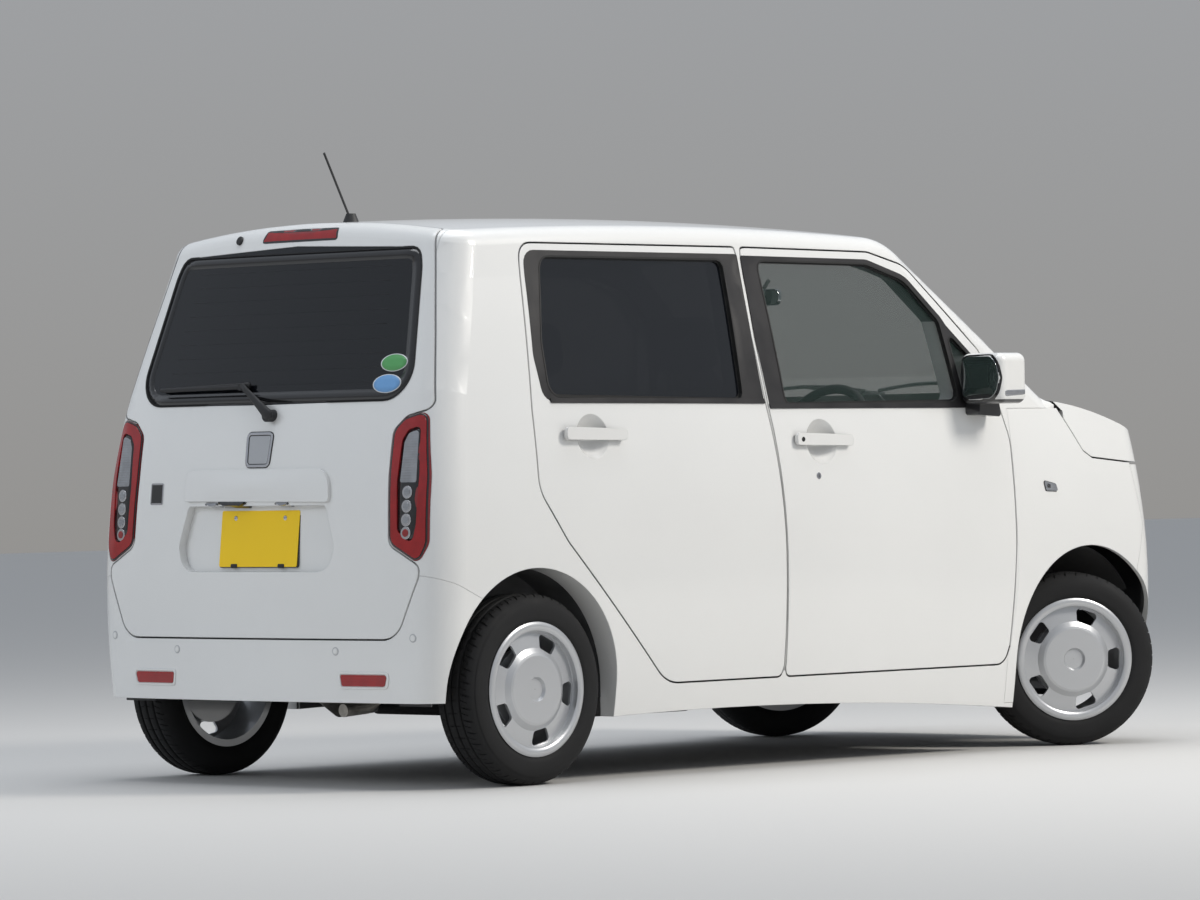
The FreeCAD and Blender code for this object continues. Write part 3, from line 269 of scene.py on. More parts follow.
# %% Shape helpers
def rounded(rows, steps=5):
    """Outline in metres from rows in millimetres (a, b, corner radius)."""
    points, count = [], len(rows)
    for i, (a, b, radius) in enumerate(rows):
        here = Vector((a, b))
        before = Vector(rows[i - 1][:2]) - here
        after = Vector(rows[(i + 1) % count][:2]) - here
        reach_max = 0.49 * min(before.length, after.length)
        before.normalize()
        after.normalize()
        half = before.angle(after) / 2
        if radius <= 0 or abs(half - pi / 2) < 0.01:
            points.append(here)
            continue
        reach = min(radius / tan(half), reach_max)
        radius = reach * tan(half)
        centre = here + (before + after).normalized() * (radius / sin(half))
        first = here + before * reach - centre
        last = here + after * reach - centre
        turn = first.angle_signed(last)
        for k in range(steps + 1):
            angle = -turn * k / steps
            points.append(centre + Vector((first.x * cos(angle) - first.y * sin(angle),
                                           first.x * sin(angle) + first.y * cos(angle))))
    return [p / 1000 for p in points]


def resampled(points, count):
    """The closed outline as count evenly spaced points."""
    loop = points + [points[0]]
    lengths = np.cumsum([0.0] + [(q - p).length for p, q in zip(loop[:-1], loop[1:])])
    places = np.linspace(0, lengths[-1], count, endpoint=False)
    return [Vector(pair) for pair in zip(*[np.interp(places, lengths, values) for values in zip(*loop)])]


def inside(point, loop):
    """True where a point of the plane lies in an outline."""
    hit = False
    for p, q in zip(loop, loop[1:] + loop[:1]):
        if (p.y > point.y) != (q.y > point.y):
            if point.x < (q.x - p.x) * (point.y - p.y) / (q.y - p.y) + p.x:
                hit = not hit
    return hit


TREES = {}


def tree_of(nodes):
    """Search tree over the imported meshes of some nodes, kept for the next call."""
    key = tuple(nodes)
    if key not in TREES:
        verts, faces = [], []
        for name in nodes:
            start = len(verts)
            mesh = NODES[name].data
            verts += [v.co.copy() for v in mesh.vertices]
            faces += [[start + i for i in face.vertices] for face in mesh.polygons]
        TREES[key] = BVHTree.FromPolygons(verts, faces)
    return TREES[key]


# Each view: where a ray starts for a place in the picture, and the way it goes
VIEWS = {"right": (lambda a, b: Vector((a, -1.2, b)), Vector((0, 1, 0))),
         "left": (lambda a, b: Vector((a, 1.2, b)), Vector((0, -1, 0))),
         "rear": (lambda a, b: Vector((-2.2, a, b)), Vector((1, 0, 0))),
         "front": (lambda a, b: Vector((2.2, a, b)), Vector((-1, 0, 0)))}


def on_skin(view, a, b, nodes, lift=0.0):
    """Point of the nodes' outer surface seen in a view, lifted off along the surface normal."""
    start_at, way = VIEWS[view]
    start = start_at(a, b)
    place, normal, _, _ = tree_of(nodes).ray_cast(start, way)
    if place is None:
        # Beside the skin: the nearest point gives how deep, the place in the picture stays
        place, _, _, _ = tree_of(nodes).find_nearest(start + way * 0.5)
        place = Vector([p if abs(w) > 0.5 else s for p, w, s in zip(place, way, start)])
        normal = -way
    if normal.dot(way) > 0:
        normal = -normal
    return place + normal * lift


def finish_mesh(name, bm, look, body, smooth=True, replace=()):
    """Object from a bmesh, riding on a body, with its look."""
    mesh = bpy.data.meshes.new(name)
    bm.to_mesh(mesh)
    bm.free()
    mesh.materials.append(look)
    if smooth:
        for face in mesh.polygons:
            face.use_smooth = True
    piece = new_object(name, mesh)
    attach(piece, body)
    if replace:
        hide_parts(*replace)
    return piece


def thicken(piece, thickness, edge=0.0, segments=2):
    """Gives a sheet its thickness inwards and, where edge is set, rounded edges."""
    solid = piece.modifiers.new("thickness", "SOLIDIFY")
    solid.thickness = thickness
    solid.offset = -1.0
    if edge:
        bevel = piece.modifiers.new("edge", "BEVEL")
        bevel.width = edge
        bevel.segments = segments
        bevel.limit_method = "ANGLE"
        bevel.angle_limit = radians(50)
        bevel.harden_normals = True
    return piece


def bridge(bm, rows, loops=True):
    """Faces between neighbouring rows of vertices, which are closed loops or open lines."""
    for one, two in zip(rows, rows[1:]):
        for i in range(len(one) if loops else len(one) - 1):
            k = (i + 1) % len(one)
            bm.faces.new((one[i], one[k], two[k], two[i]))


def close(bm):
    """Turns a closed shape's faces outwards."""
    bmesh.ops.recalc_face_normals(bm, faces=bm.faces)


def face_outwards(bm, way):
    """Turns a sheet's faces against the way that its view looks."""
    bm.normal_update()
    total = Vector()
    for face in bm.faces:
        total += face.normal * face.calc_area()
    if total.dot(way) > 0:
        bmesh.ops.reverse_faces(bm, faces=bm.faces)


def patch(name, view, loop, hosts, look, body, slot=None, lift=0.001, thickness=0.003, edge=0.0008, grid=0.03,
          crown=0.0, holes=()):
    """Thin piece that follows the skin inside an outline, open where the holes are."""
    low = Vector((min(p.x for p in loop), min(p.y for p in loop)))
    high = Vector((max(p.x for p in loop), max(p.y for p in loop)))
    points = list(loop)
    nx = max(2, int((high.x - low.x) / grid) + 1)
    ny = max(2, int((high.y - low.y) / grid) + 1)
    for i in range(1, nx):
        for j in range(1, ny):
            p = Vector((low.x + (high.x - low.x) * i / nx, low.y + (high.y - low.y) * j / ny))
            if inside(p, loop) and not any(inside(p, hole) for hole in holes):
                if min((p - q).length for ring in (loop, *holes) for q in ring) > grid * 0.3:
                    points.append(p)
    edges = [(i, (i + 1) % len(loop)) for i in range(len(loop))]
    for hole in holes:
        start = len(points)
        points += hole
        edges += [(start + i, start + (i + 1) % len(hole)) for i in range(len(hole))]
    flat, _, faces, _, _, _ = delaunay_2d_cdt(points, edges, [], 1, 1e-6)
    bm = bmesh.new()
    middle, reach = (low + high) / 2, (high - low) / 2
    verts = []
    for p in flat:
        u, v = (p.x - middle.x) / reach.x, (p.y - middle.y) / reach.y
        bulge = crown * max(0.0, 1 - u * u) * max(0.0, 1 - v * v)
        verts.append(bm.verts.new(on_skin(view, p.x, p.y, hosts, lift + bulge)))
    for face in faces:
        centre = sum((flat[i] for i in face), Vector((0, 0))) / len(face)
        if not any(inside(centre, hole) for hole in holes):
            bm.faces.new([verts[i] for i in face])
    face_outwards(bm, VIEWS[view][1])
    return thicken(finish_mesh(name, bm, look, body), thickness, edge)


def patches(view, hosts, body, *rows, suffix="", slot=None):
    """Patches on one skin. Each row: name, outline, look, and in millimetres lift, thickness, edge and grid."""
    for name, outline, look, *sizes in rows:
        patch(name + suffix, view, outline, hosts, look, body, slot, *[size / 1000 for size in sizes])


SLEEVE_LIP, SLEEVE_OVER_SKIN, SLEEVE_OVER_PANE, SLEEVE_T = 0.001, 0.0022, 0.0010, 0.0012


def sleeve(name, view, outline, skin, pane, look, body, outside=0.004, cover=0.006, count=140):
    """Rubber channel from the skin round a window opening, through the reveal, onto the pane."""
    base = resampled(outline, count)
    outer, lip, inner = shrunk(base, -outside), shrunk(base, SLEEVE_LIP), shrunk(base, cover)
    deep_axis = 1 if view in ("right", "left") else 0
    bm = bmesh.new()
    rings = [[], [], [], []]
    for p, q, r in zip(outer, lip, inner):
        high = on_skin(view, p.x, p.y, skin, SLEEVE_OVER_SKIN)
        low = on_skin(view, r.x, r.y, pane, SLEEVE_OVER_PANE)
        edge, foot = VIEWS[view][0](q.x, q.y), VIEWS[view][0](q.x, q.y)
        edge[deep_axis], foot[deep_axis] = high[deep_axis], low[deep_axis]
        for ring, place in zip(rings, (high, edge, foot, low)):
            ring.append(bm.verts.new(place))
    bridge(bm, rings)
    face_outwards(bm, VIEWS[view][1])
    return thicken(finish_mesh(name, bm, look, body, smooth=False), SLEEVE_T)


def band(name, view, outer, inner, hosts, look, body, lift=0.001, thickness=0.003, edge=0.0006, count=96):
    """Ring between two outlines that follows the skin."""
    rings = [resampled(outer, count), resampled(inner, count)]
    turn = min(range(count), key=lambda k: sum((rings[0][i] - rings[1][(i + k) % count]).length
                                               for i in range(0, count, 8)))
    rings[1] = rings[1][turn:] + rings[1][:turn]
    bm = bmesh.new()
    bridge(bm, [[bm.verts.new(on_skin(view, p.x, p.y, hosts, lift)) for p in ring] for ring in rings])
    face_outwards(bm, VIEWS[view][1])
    return thicken(finish_mesh(name, bm, look, body), thickness, edge)


def shrunk(loop, distance):
    """Outline moved inwards by a distance."""
    area = sum(p.x * q.y - q.x * p.y for p, q in zip(loop, loop[1:] + loop[:1]))
    sign = 1 if area > 0 else -1
    moved, count = [], len(loop)
    for i, p in enumerate(loop):
        before, after = loop[i - 1], loop[(i + 1) % count]
        along = (after - before).normalized()
        moved.append(p + Vector((-along.y, along.x)) * sign * distance)
    return moved


def flip(loop):
    """Outline mirrored across the car, in the same turning sense."""
    return [Vector((-p.x, p.y)) for p in reversed(loop)]


def on_side(side, loop):
    """Outline drawn for the left side, mirrored for the right."""
    return loop if side == "left" else flip(loop)


def disc(a, b, radius, count=32, tall=1.0):
    """Round outline, flattened to an oval by tall."""
    turns = [2 * pi * k / count for k in range(count)]
    return [Vector((a + radius * cos(turn), b + radius * tall * sin(turn))) for turn in turns]


WAY = {"right": -1, "left": 1}
print("helpers ready")

# %% Outlines shared with the panels
REAR_WINDOW = rounded([(-1115, 1530, 40), (-330, 1530, 25), (-330, 1108, 25), (-1158, 1122, 45),
                       (-1162, 1280, 200)])
FRONT_WINDOW = rounded([(-176, 1529, 25), (330, 1526, 90), (500, 1478, 120), (636, 1352, 30), (680, 1100, 30),
                        (-140, 1094, 25)])
QUARTER_WINDOW = rounded([(664, 1322, 14), (764, 1238, 30), (752, 1104, 25), (702, 1102, 16)])
TAIL_LAMP = rounded([(646, 1084, 25), (570, 1064, 40), (535, 1030, 40), (535, 900, 200), (545, 706, 40),
                     (655, 648, 25), (679, 704, 60), (673, 900, 300)])
REAR_GLASS = rounded([(0, 1577, 0), (500, 1558, 45), (520, 1500, 120), (584, 1116, 92), (0, 1112, 0)], 9)
STOP_LAMP = rounded([(-160, 1592, 6), (-150, 1626, 6), (150, 1626, 6), (160, 1592, 6)])
HEADLAMP = rounded([(430, 880, 60), (640, 880, 80), (700, 820, 60), (690, 700, 70), (500, 690, 80),
                    (430, 740, 60)])
half_glass = [p for p in REAR_GLASS if p.x > 0.001]
BOTH_GLASS = flip(half_glass) + half_glass
REAR_SURROUND = rounded([(-1182, 1549, 46), (-263, 1549, 8), (-255, 1300, 0), (-237, 1098, 4),
                         (-1184, 1107, 46), (-1204, 1240, 160)])
FRONT_SURROUND = rounded([(-247, 1545, 8), (335, 1541, 94), (508, 1492, 124), (648, 1364, 30), (668, 1338, 20),
                          (776, 1244, 30), (766, 1080, 8), (-214, 1084, 4), (-239, 1300, 0)])
REAR_BELT = rounded([(-1160, 1116, 4), (-239, 1111, 2), (-235, 1096, 2), (-1158, 1102, 6)])
FRONT_BELT = rounded([(-218, 1096, 2), (756, 1094, 2), (758, 1079, 6), (-213, 1081, 2)])
print("outlines ready")


# %% Side windows: black surrounds, sleeves in the openings and belt mouldings
SURROUND_T, BELT_LIFT, BELT_T = 0.0025, 0.004, 0.006
for side in WAY:
    rear_door, front_door = "rear_door_" + side, "front_door_" + side
    for label, outline, door, windows in (
            ("rear", REAR_SURROUND, rear_door, [REAR_WINDOW]),
            ("front", FRONT_SURROUND, front_door, [FRONT_WINDOW, QUARTER_WINDOW])):
        patch("%s_surround_%s" % (label, side), side, outline, [door], SASH, door, thickness=SURROUND_T,
              holes=[shrunk(window, -0.001) for window in windows])
    for label, window, door, count in (("rear", REAR_WINDOW, rear_door, 150),
                                       ("front", FRONT_WINDOW, front_door, 150),
                                       ("quarter", QUARTER_WINDOW, front_door, 70)):
        glass = door.replace("_door_", "_door_glass_")
        sleeve(label + "_window_sleeve_" + side, side, window, [door], [glass], SEAL, door, count=count)
    for label, outline, door in (("rear", REAR_BELT, rear_door), ("front", FRONT_BELT, front_door)):
        patch("%s_belt_moulding_%s" % (label, side), side, outline, [door], SASH, door, lift=BELT_LIFT,
              thickness=BELT_T, grid=0.05)
print("side window trim on both sides")

# %% Locks, handle buttons and side markers
LOCK_SLOT = rounded([(-25, 881, 0), (-23, 881, 0), (-23, 871, 0), (-25, 871, 0)])
MARKER = rounded([(1051, 846, 5), (1109, 835, 7), (1117, 812, 6), (1059, 815, 6)])
MARKER_BULB = rounded([(1064, 837, 3), (1080, 835, 3), (1080, 822, 3), (1064, 824, 3)])
for side in WAY:
    door = "front_door_" + side
    if side == "right":
        patches(side, [door], door, ("lock_ring", disc(-0.024, 0.876, 0.0105, 24), CHROME, 1.5, 3, 0.8, 30),
                ("lock_slot", LOCK_SLOT, SEAL, 2.2, 2, 0, 30))
    patches(side, ["front_handle_" + side], door,
            ("handle_button_", disc(-0.100, 0.9875, 0.0075, 20), BLACK, 1, 2, 0.8, 30), suffix=side)
    patches(side, ["front_fenders"], "root",
            ("side_marker_base_", shrunk(MARKER, -0.002), BLACK, 1.5, 3, 0.8, 30),
            ("side_marker_", MARKER, CLEAR, 4, 4, 1.5, 30),
            ("side_marker_bulb_", MARKER_BULB, BLACK, 4.6, 1, 0, 30), suffix=side)
print("locks, buttons, side markers")

# %% Door mirrors: black rim, glass and lamp strip
MIRROR_FACE = rounded([(706, 1236, 40), (846, 1236, 45), (856, 1170, 80), (846, 1108, 40), (712, 1104, 40),
                       (702, 1170, 60)])
MIRROR_RIM = rounded([(698, 1242, 46), (852, 1244, 48), (864, 1170, 80), (853, 1098, 44), (704, 1096, 44),
                      (696, 1170, 60)])
MIRROR_STRIP = resampled(rounded([(700, 1131, 5), (800, 1133, 6), (800, 1118, 6), (700, 1112, 5)]), 80)
for side in WAY:
    door, host = "front_door_" + side, ["mirror_" + side]
    patches("rear", host, door, ("mirror_back_", on_side(side, MIRROR_RIM), BLACK, 2, 4, 1.5, 20),
            ("mirror_glass_", on_side(side, MIRROR_FACE), MIRROR, 3.5, 2, 0.8, 20), suffix=side)
    patches(side, host, door, ("mirror_strip_", MIRROR_STRIP, CLEAR, 0.6, 3, 0, 5), suffix=side)
print("mirror faces")

# %% Rear window: black border, heater lines, stickers, washer nozzle and stop lamp lens
GLASS_SKIN, TAIL_SKIN = ["tailgate_glass"], ["tailgate"]
ON_GLASS, ON_TAIL = ("rear", GLASS_SKIN, "tailgate"), ("rear", TAIL_SKIN, "tailgate")
band("rear_glass_border", "rear", shrunk(BOTH_GLASS, 0.001), shrunk(BOTH_GLASS, 0.034), GLASS_SKIN, BLACK,
     "tailgate", lift=0.0006, thickness=0.0012, edge=0, count=160)
sleeve("rear_glass_seal", "rear", BOTH_GLASS, TAIL_SKIN, GLASS_SKIN, SEAL, "tailgate", outside=0.002,
       cover=0.004, count=180)
HEATER_LINES, HEATER_FOOT, HEATER_PITCH, HEATER_WIDE = 9, 1.17, 0.042, 0.0011
for row in range(HEATER_LINES):
    height = HEATER_FOOT + HEATER_PITCH * row
    reach = 0.452 - 0.006 * row
    line = [Vector((-reach, height)), Vector((reach, height)), Vector((reach, height + HEATER_WIDE)),
            Vector((-reach, height + HEATER_WIDE))]
    patches(*ON_GLASS, ("heater_line_%d" % row, line, SEAL, 0.4, 0.4, 0, 80))
STICKER_EDGE_WIDE = 0.004
for label, y, z, wide, look in (("green", -0.490, 1.224, 0.051, STICKER_GREEN),
                                ("blue", -0.478, 1.164, 0.054, STICKER_BLUE)):
    patches(*ON_GLASS, ("sticker_edge_", disc(y, z, wide, 40, 0.5), STICKER_EDGE, 0.8, 0.6, 0, 20),
            ("sticker_", disc(y, z, wide - STICKER_EDGE_WIDE, 40, 0.5), look, 1.2, 0.6, 0, 20), suffix=label)
patches(*ON_TAIL, ("washer_nozzle", disc(0.262, 1.602, 0.012, 20), TRIM, 8, 9, 3, 20))
patches("rear", ["stop_lamp"], "tailgate",
        ("stop_lamp_lens", shrunk(STOP_LAMP, 0.004), RED, 1.5, 3, 1, 20))
band("stop_lamp_rim", "rear", shrunk(STOP_LAMP, -0.0015), shrunk(STOP_LAMP, 0.005), ["stop_lamp", "tailgate"],
     BLACK, "tailgate", thickness=0.0025, count=80)
print("rear window details")


# %% Rear wiper: cover over its spindle and arm, and the blade
def tapered(name, stations, look, body, sides=14):
    """Smooth arm through stations of (place, half width, half height)."""
    bm = bmesh.new()
    rings = []
    for k, (place, wide, tall) in enumerate(stations):
        before, after = stations[max(k - 1, 0)][0], stations[min(k + 1, len(stations) - 1)][0]
        along = (after - before).normalized()
        across_way = along.cross(Vector((1, 0, 0))).normalized()
        up_way = across_way.cross(along)
        rings.append([bm.verts.new(place + across_way * wide * cos(a) + up_way * tall * sin(a))
                      for a in [2 * pi * i / sides for i in range(sides)]])
    bridge(bm, rings)
    bm.faces.new(rings[0])
    bm.faces.new(rings[-1])
    close(bm)
    return finish_mesh(name, bm, look, body)


BLADE_STEPS, BLADE_START, BLADE_LONG = 12, 0.07, 0.40
pivot = on_skin("rear", -0.040, 1.080, TAIL_SKIN, 0.026)
elbow = on_skin("rear", 0.092, 1.165, GLASS_SKIN, 0.024)
tapered("rear_wiper_cover", [
    (pivot + Vector((0, -0.020, -0.012)), 0.006, 0.004), (pivot + Vector((0, -0.012, -0.007)), 0.016, 0.009),
    (pivot, 0.0175, 0.010), (pivot.lerp(elbow, 0.25), 0.014, 0.009), (pivot.lerp(elbow, 0.8), 0.009, 0.006),
    (elbow, 0.008, 0.005)], TRIM, "tailgate")
blade = [on_skin("rear", BLADE_START + BLADE_LONG * k / BLADE_STEPS, 1.167 - 0.006 * k / BLADE_STEPS,
                 GLASS_SKIN, 0.012) for k in range(BLADE_STEPS + 1)]
tapered("rear_wiper_blade", [(place, 0.009 - 0.004 * k / BLADE_STEPS, 0.006) for k, place in enumerate(blade)],
        TRIM, "tailgate")
print("rear wiper cover and blade")


# %% Cowl ends: painted wedges between the windscreen foot and the bonnet's rear corners
def top_of(x, y, nodes):
    """Height of the nodes' upper surface at a place, or None where there is none."""
    place, _, _, _ = tree_of(nodes).ray_cast(Vector((x, y, 2.0)), Vector((0, 0, -1)))
    return place and place.z


BONNET_ROOM, BONNET_DIP, WEDGE_REACH, WEDGE_DEPTH, WEDGE_TUCK = 0.006, 0.003, 0.045, 0.035, 0.001
for side, way in WAY.items():
    behind = ["body_side_" + side, "front_fenders", "windscreen"]
    bm = bmesh.new()
    rows = []
    for y in [way * out for out in (0.560, 0.600, 0.630, 0.655, 0.672, 0.684, 0.692)]:
        edge_x = next(x for x in np.arange(1.10, 1.26, 0.001) if top_of(x, y, ["bonnet"]))
        edge_z = top_of(edge_x, y, ["bonnet"])
        foot_x, front_x = edge_x - WEDGE_REACH, edge_x - BONNET_ROOM
        foot_z = top_of(foot_x, y, behind) or edge_z
        rows.append([bm.verts.new(place) for place in (
            (foot_x, y, foot_z - WEDGE_TUCK), (front_x, y, edge_z - BONNET_DIP),
            (front_x, y, edge_z - WEDGE_DEPTH), (foot_x, y, foot_z - WEDGE_DEPTH))])
    bridge(bm, rows)
    bm.faces.new(rows[0])
    bm.faces.new(rows[-1])
    close(bm)
    finish_mesh("cowl_end_" + side, bm, PAINT, "root", smooth=False)
print("cowl ends")

# %% Windscreen wipers at rest along the glass foot
SCREEN_SKIN, SCREEN_STEPS = ["windscreen"], 14
for label, start, end in (("driver", -0.50, 0.055), ("passenger", 0.065, 0.535)):
    foot = on_skin("front", start, 1.118, SCREEN_SKIN, 0.016)
    bend = on_skin("front", start + 0.30, 1.150, SCREEN_SKIN, 0.022)
    tapered("screen_wiper_arm_" + label,
            [(foot, 0.013, 0.009), (foot.lerp(bend, 0.3), 0.010, 0.007), (bend, 0.006, 0.004)], TRIM, "root")
    blade_from = start + 0.05
    line = [on_skin("front", blade_from + (end - blade_from) * t, 1.140 + 0.018 * sin(pi * t),
                    SCREEN_SKIN, 0.010) for t in [k / SCREEN_STEPS for k in range(SCREEN_STEPS + 1)]]
    tapered("screen_wiper_blade_" + label, [(place, 0.006, 0.007) for place in line], SEAL, "root")
print("windscreen wipers")

# %% Tailgate: emblem field, blank badge, handle garnish and plate lamps
EMBLEM = rounded([(-56, 1032, 16), (56, 1032, 16), (50, 930, 18), (-50, 930, 18)])
for label, outer, inner, look, rest in (
        ("rim", 0.0, 0.008, CHROME, {"lift": 0.004, "thickness": 0.005, "edge": 0.0015}),
        ("edge", -0.0025, 0.001, BLACK, {"lift": 0.0015, "edge": 0.0005}),
        ("inner_edge", 0.0065, 0.0105, BLACK, {"lift": 0.0022, "edge": 0.0005})):
    band("emblem_" + label, "rear", shrunk(EMBLEM, outer), shrunk(EMBLEM, inner), TAIL_SKIN, look, "tailgate",
         count=72, **rest)
BADGE = rounded([(412, 888, 5), (470, 888, 5), (470, 824, 5), (412, 824, 5)])
patches(*ON_TAIL, ("emblem_field", shrunk(EMBLEM, 0.006), SILVER, 1.5, 3, 0.5, 20),
        ("badge_blank", BADGE, CHROME, 2, 3, 1, 30),
        ("badge_inlay", shrunk(BADGE, 0.005), BLACK, 2.6, 2, 0.5, 30))
GARNISH = rounded([(-300, 924, 60), (300, 924, 30), (306, 832, 12), (-312, 826, 14)])
patch("handle_garnish", "rear", GARNISH, TAIL_SKIN, PAINT, "tailgate", lift=0.010, thickness=0.013, edge=0.004,
      grid=0.025, crown=0.004)
# Black block under the garnish's lower edge: painted shade that fills the gap beneath the raised garnish
GARNISH_GAP_SHADE = rounded([(40, 826, 3), (150, 827, 3), (150, 812, 5), (40, 811, 5)])
patches(*ON_TAIL, ("garnish_gap", GARNISH_GAP_SHADE, BLACK, 8, 10, 1, 20))
for k, (low, high) in enumerate(((-140, -90), (160, 210))):
    outline = rounded([(low, 824, 3), (high, 824, 3), (high, 814, 3), (low, 814, 3)])
    patches(*ON_TAIL, ("plate_lamp_%d" % k, outline, CLEAR, 6, 6, 1, 20))
print("tailgate details")


# %% Number plate: carrier, blank yellow plate, bolts and clips
PLATE_AT, PLATE_LEAN = Vector((-1.663, 0.0, 0.722)), 0.114
BOLT_R, BOLT_FLATTENED = 0.0075, 0.35
plate_turn = Matrix.Rotation(PLATE_LEAN, 3, "Y")
plate_out = plate_turn @ Vector((-1, 0, 0))


def flat_slab(name, centre, size, look, radius, depth):
    """Thin rounded slab on the tailgate in the number plate's plane."""
    wide, tall, round_mm = size[0] * 500, size[1] * 500, radius * 1000
    rows = rounded([(-wide, tall, round_mm), (wide, tall, round_mm), (wide, -tall, round_mm),
                    (-wide, -tall, round_mm)])
    bm = bmesh.new()
    bm.faces.new([bm.verts.new(centre + plate_turn @ Vector((0, p.x, p.y))) for p in rows])
    face_outwards(bm, Vector((1, 0, 0)))
    return thicken(finish_mesh(name, bm, look, "tailgate", smooth=False), depth, 0.0005)


flat_slab("plate_carrier", PLATE_AT, (0.334, 0.169), BLACK, 0.008, 0.008)
flat_slab("plate_blank", PLATE_AT + plate_out * 0.0025, (0.330, 0.165), PLATE, 0.006, 0.0022)
bm = bmesh.new()
for y in (-0.105, 0.105):
    made = bmesh.ops.create_uvsphere(bm, u_segments=16, v_segments=8, radius=BOLT_R)
    at = PLATE_AT + plate_out * 0.003 + plate_turn @ Vector((0, y, 0.060))
    for vert in made["verts"]:
        vert.co = at + Vector((vert.co.x * BOLT_FLATTENED, vert.co.y, vert.co.z))
finish_mesh("plate_bolts", bm, CHROME, "tailgate")
for k, y in enumerate((-0.10, 0.10)):
    flat_slab("plate_clip_%d" % k, PLATE_AT + plate_out * 0.0045 + plate_turn @ Vector((0, y, -0.080)),
              (0.026, 0.012), TRIM, 0.003, 0.004)
print("number plate")

# %% Tail lamps: black edge, red ring, clear core and round projectors
LAMP_SKIN = ["tail_lamps"]
LAMP_CORE = rounded([(632, 1042, 14), (590, 1030, 20), (572, 1002, 20), (566, 880, 120), (574, 742, 22),
                     (630, 700, 18), (643, 760, 60), (645, 900, 200)])
LAMP_WINDOW = rounded([(628, 1030, 10), (594, 1020, 14), (581, 994, 10), (577, 880, 6), (637, 880, 6)])
PROJECTOR_Y, PROJECTOR_Z = 0.606, (0.852, 0.812, 0.773, 0.736)
for side, way in WAY.items():
    whole, core = on_side(side, TAIL_LAMP), on_side(side, LAMP_CORE)
    band("tail_lamp_edge_" + side, "rear", shrunk(whole, 0.001), shrunk(whole, 0.007), LAMP_SKIN, BLACK,
         "root", lift=0.0015, thickness=0.002, edge=0, count=110)
    band("tail_lamp_ring_" + side, "rear", shrunk(whole, 0.006), core, LAMP_SKIN, RED, "root", lift=0.0035,
         thickness=0.004, edge=0.0012, count=120)
    patches("rear", LAMP_SKIN, "root", ("tail_lamp_bowl_", shrunk(core, 0.001), BLACK, 0.8, 1, 0, 20),
            ("tail_lamp_window_", on_side(side, LAMP_WINDOW), CLEAR, 3, 3, 1, 15), suffix=side)
    for k, z in enumerate(PROJECTOR_Z):
        eye = DEEP_RED if z == PROJECTOR_Z[-1] else CLEAR
        patches("rear", LAMP_SKIN, "root",
                ("tail_lamp_bezel_", disc(PROJECTOR_Y * way, z, 0.0185, 22), CHROME, 3.6, 4, 1.5, 20),
                ("tail_lamp_eye_", disc(PROJECTOR_Y * way, z, 0.0115, 22), eye, 5.2, 4, 1.5, 20),
                suffix="%d_%s" % (k, side), slot="lamp_clear")
print("tail lamps")

# %% Rear bumper: reflectors in their frames, and sensors
BUMPER_SKIN = ["rear_bumper"]
FRAME_OUT = rounded([(344, 340, 10), (545, 340, 14), (536, 290, 14), (350, 290, 12)])
FRAME_IN = rounded([(352, 333, 6), (536, 333, 8), (528, 296, 8), (358, 296, 7)])
REFLECTOR = rounded([(354, 331, 6), (533, 331, 8), (524, 298, 8), (360, 298, 7)])
for side in WAY:
    band("reflector_frame_" + side, "rear", on_side(side, FRAME_OUT), on_side(side, FRAME_IN), BUMPER_SKIN,
         PAINT, "root", lift=0.003, thickness=0.005, edge=0.0015, count=90)
    patches("rear", BUMPER_SKIN, "root", ("reflector_", on_side(side, REFLECTOR), RED, 2.2, 4, 1, 20),
            suffix=side)
for k, (y, z) in enumerate(((-0.634, 0.437), (-0.337, 0.398), (0.337, 0.398), (0.634, 0.437))):
    patches("rear", BUMPER_SKIN, "root", ("sensor_ring_", disc(y, z, 0.0125, 24), SILVER, 0.6, 2, 0.5, 20),
            ("sensor_", disc(y, z, 0.0095, 24), PAINT, 1.6, 2, 0.8, 20), suffix=str(k))
print("rear bumper details")

# %% Nose: headlamp edges and cores, grille bars
HEADLAMP_Y, HEADLAMP_Z = 0.555, 0.792
for side, way in WAY.items():
    whole = on_side(side, HEADLAMP)
    band("headlamp_edge_" + side, "front", shrunk(whole, 0.001), shrunk(whole, 0.008), ["headlamps"],
         BLACK, "root", thickness=0.002, edge=0, count=90)
    patches("front", ["headlamps"], "root", *[
        ("headlamp_%s_" % part, disc(HEADLAMP_Y * way, HEADLAMP_Z, radius, 40), look, lift, 3, 1, 20)
        for part, radius, look, lift in (("bezel", 0.062, BLACK, 1), ("ring", 0.054, CHROME, 1.8),
                                         ("lens", 0.046, DARK_GLASS, 2.6))], suffix=side, slot="lamp_clear")
BAR_COUNT, BAR_TOP, BAR_PITCH, BAR_TALL = 3, 806, 19, 9
for row in range(BAR_COUNT):
    reach, top = 352 - 8 * row, BAR_TOP - BAR_PITCH * row
    bar = rounded([(-reach, top, 4), (reach, top, 4), (reach, top - BAR_TALL, 4), (-reach, top - BAR_TALL, 4)])
    patches("front", ["front_grille"], "root",
            ("grille_bar_%d" % row, bar, BLACK if row else CHROME, 2, 6, 1.5, 40), slot="gloss_black")
print("nose details")

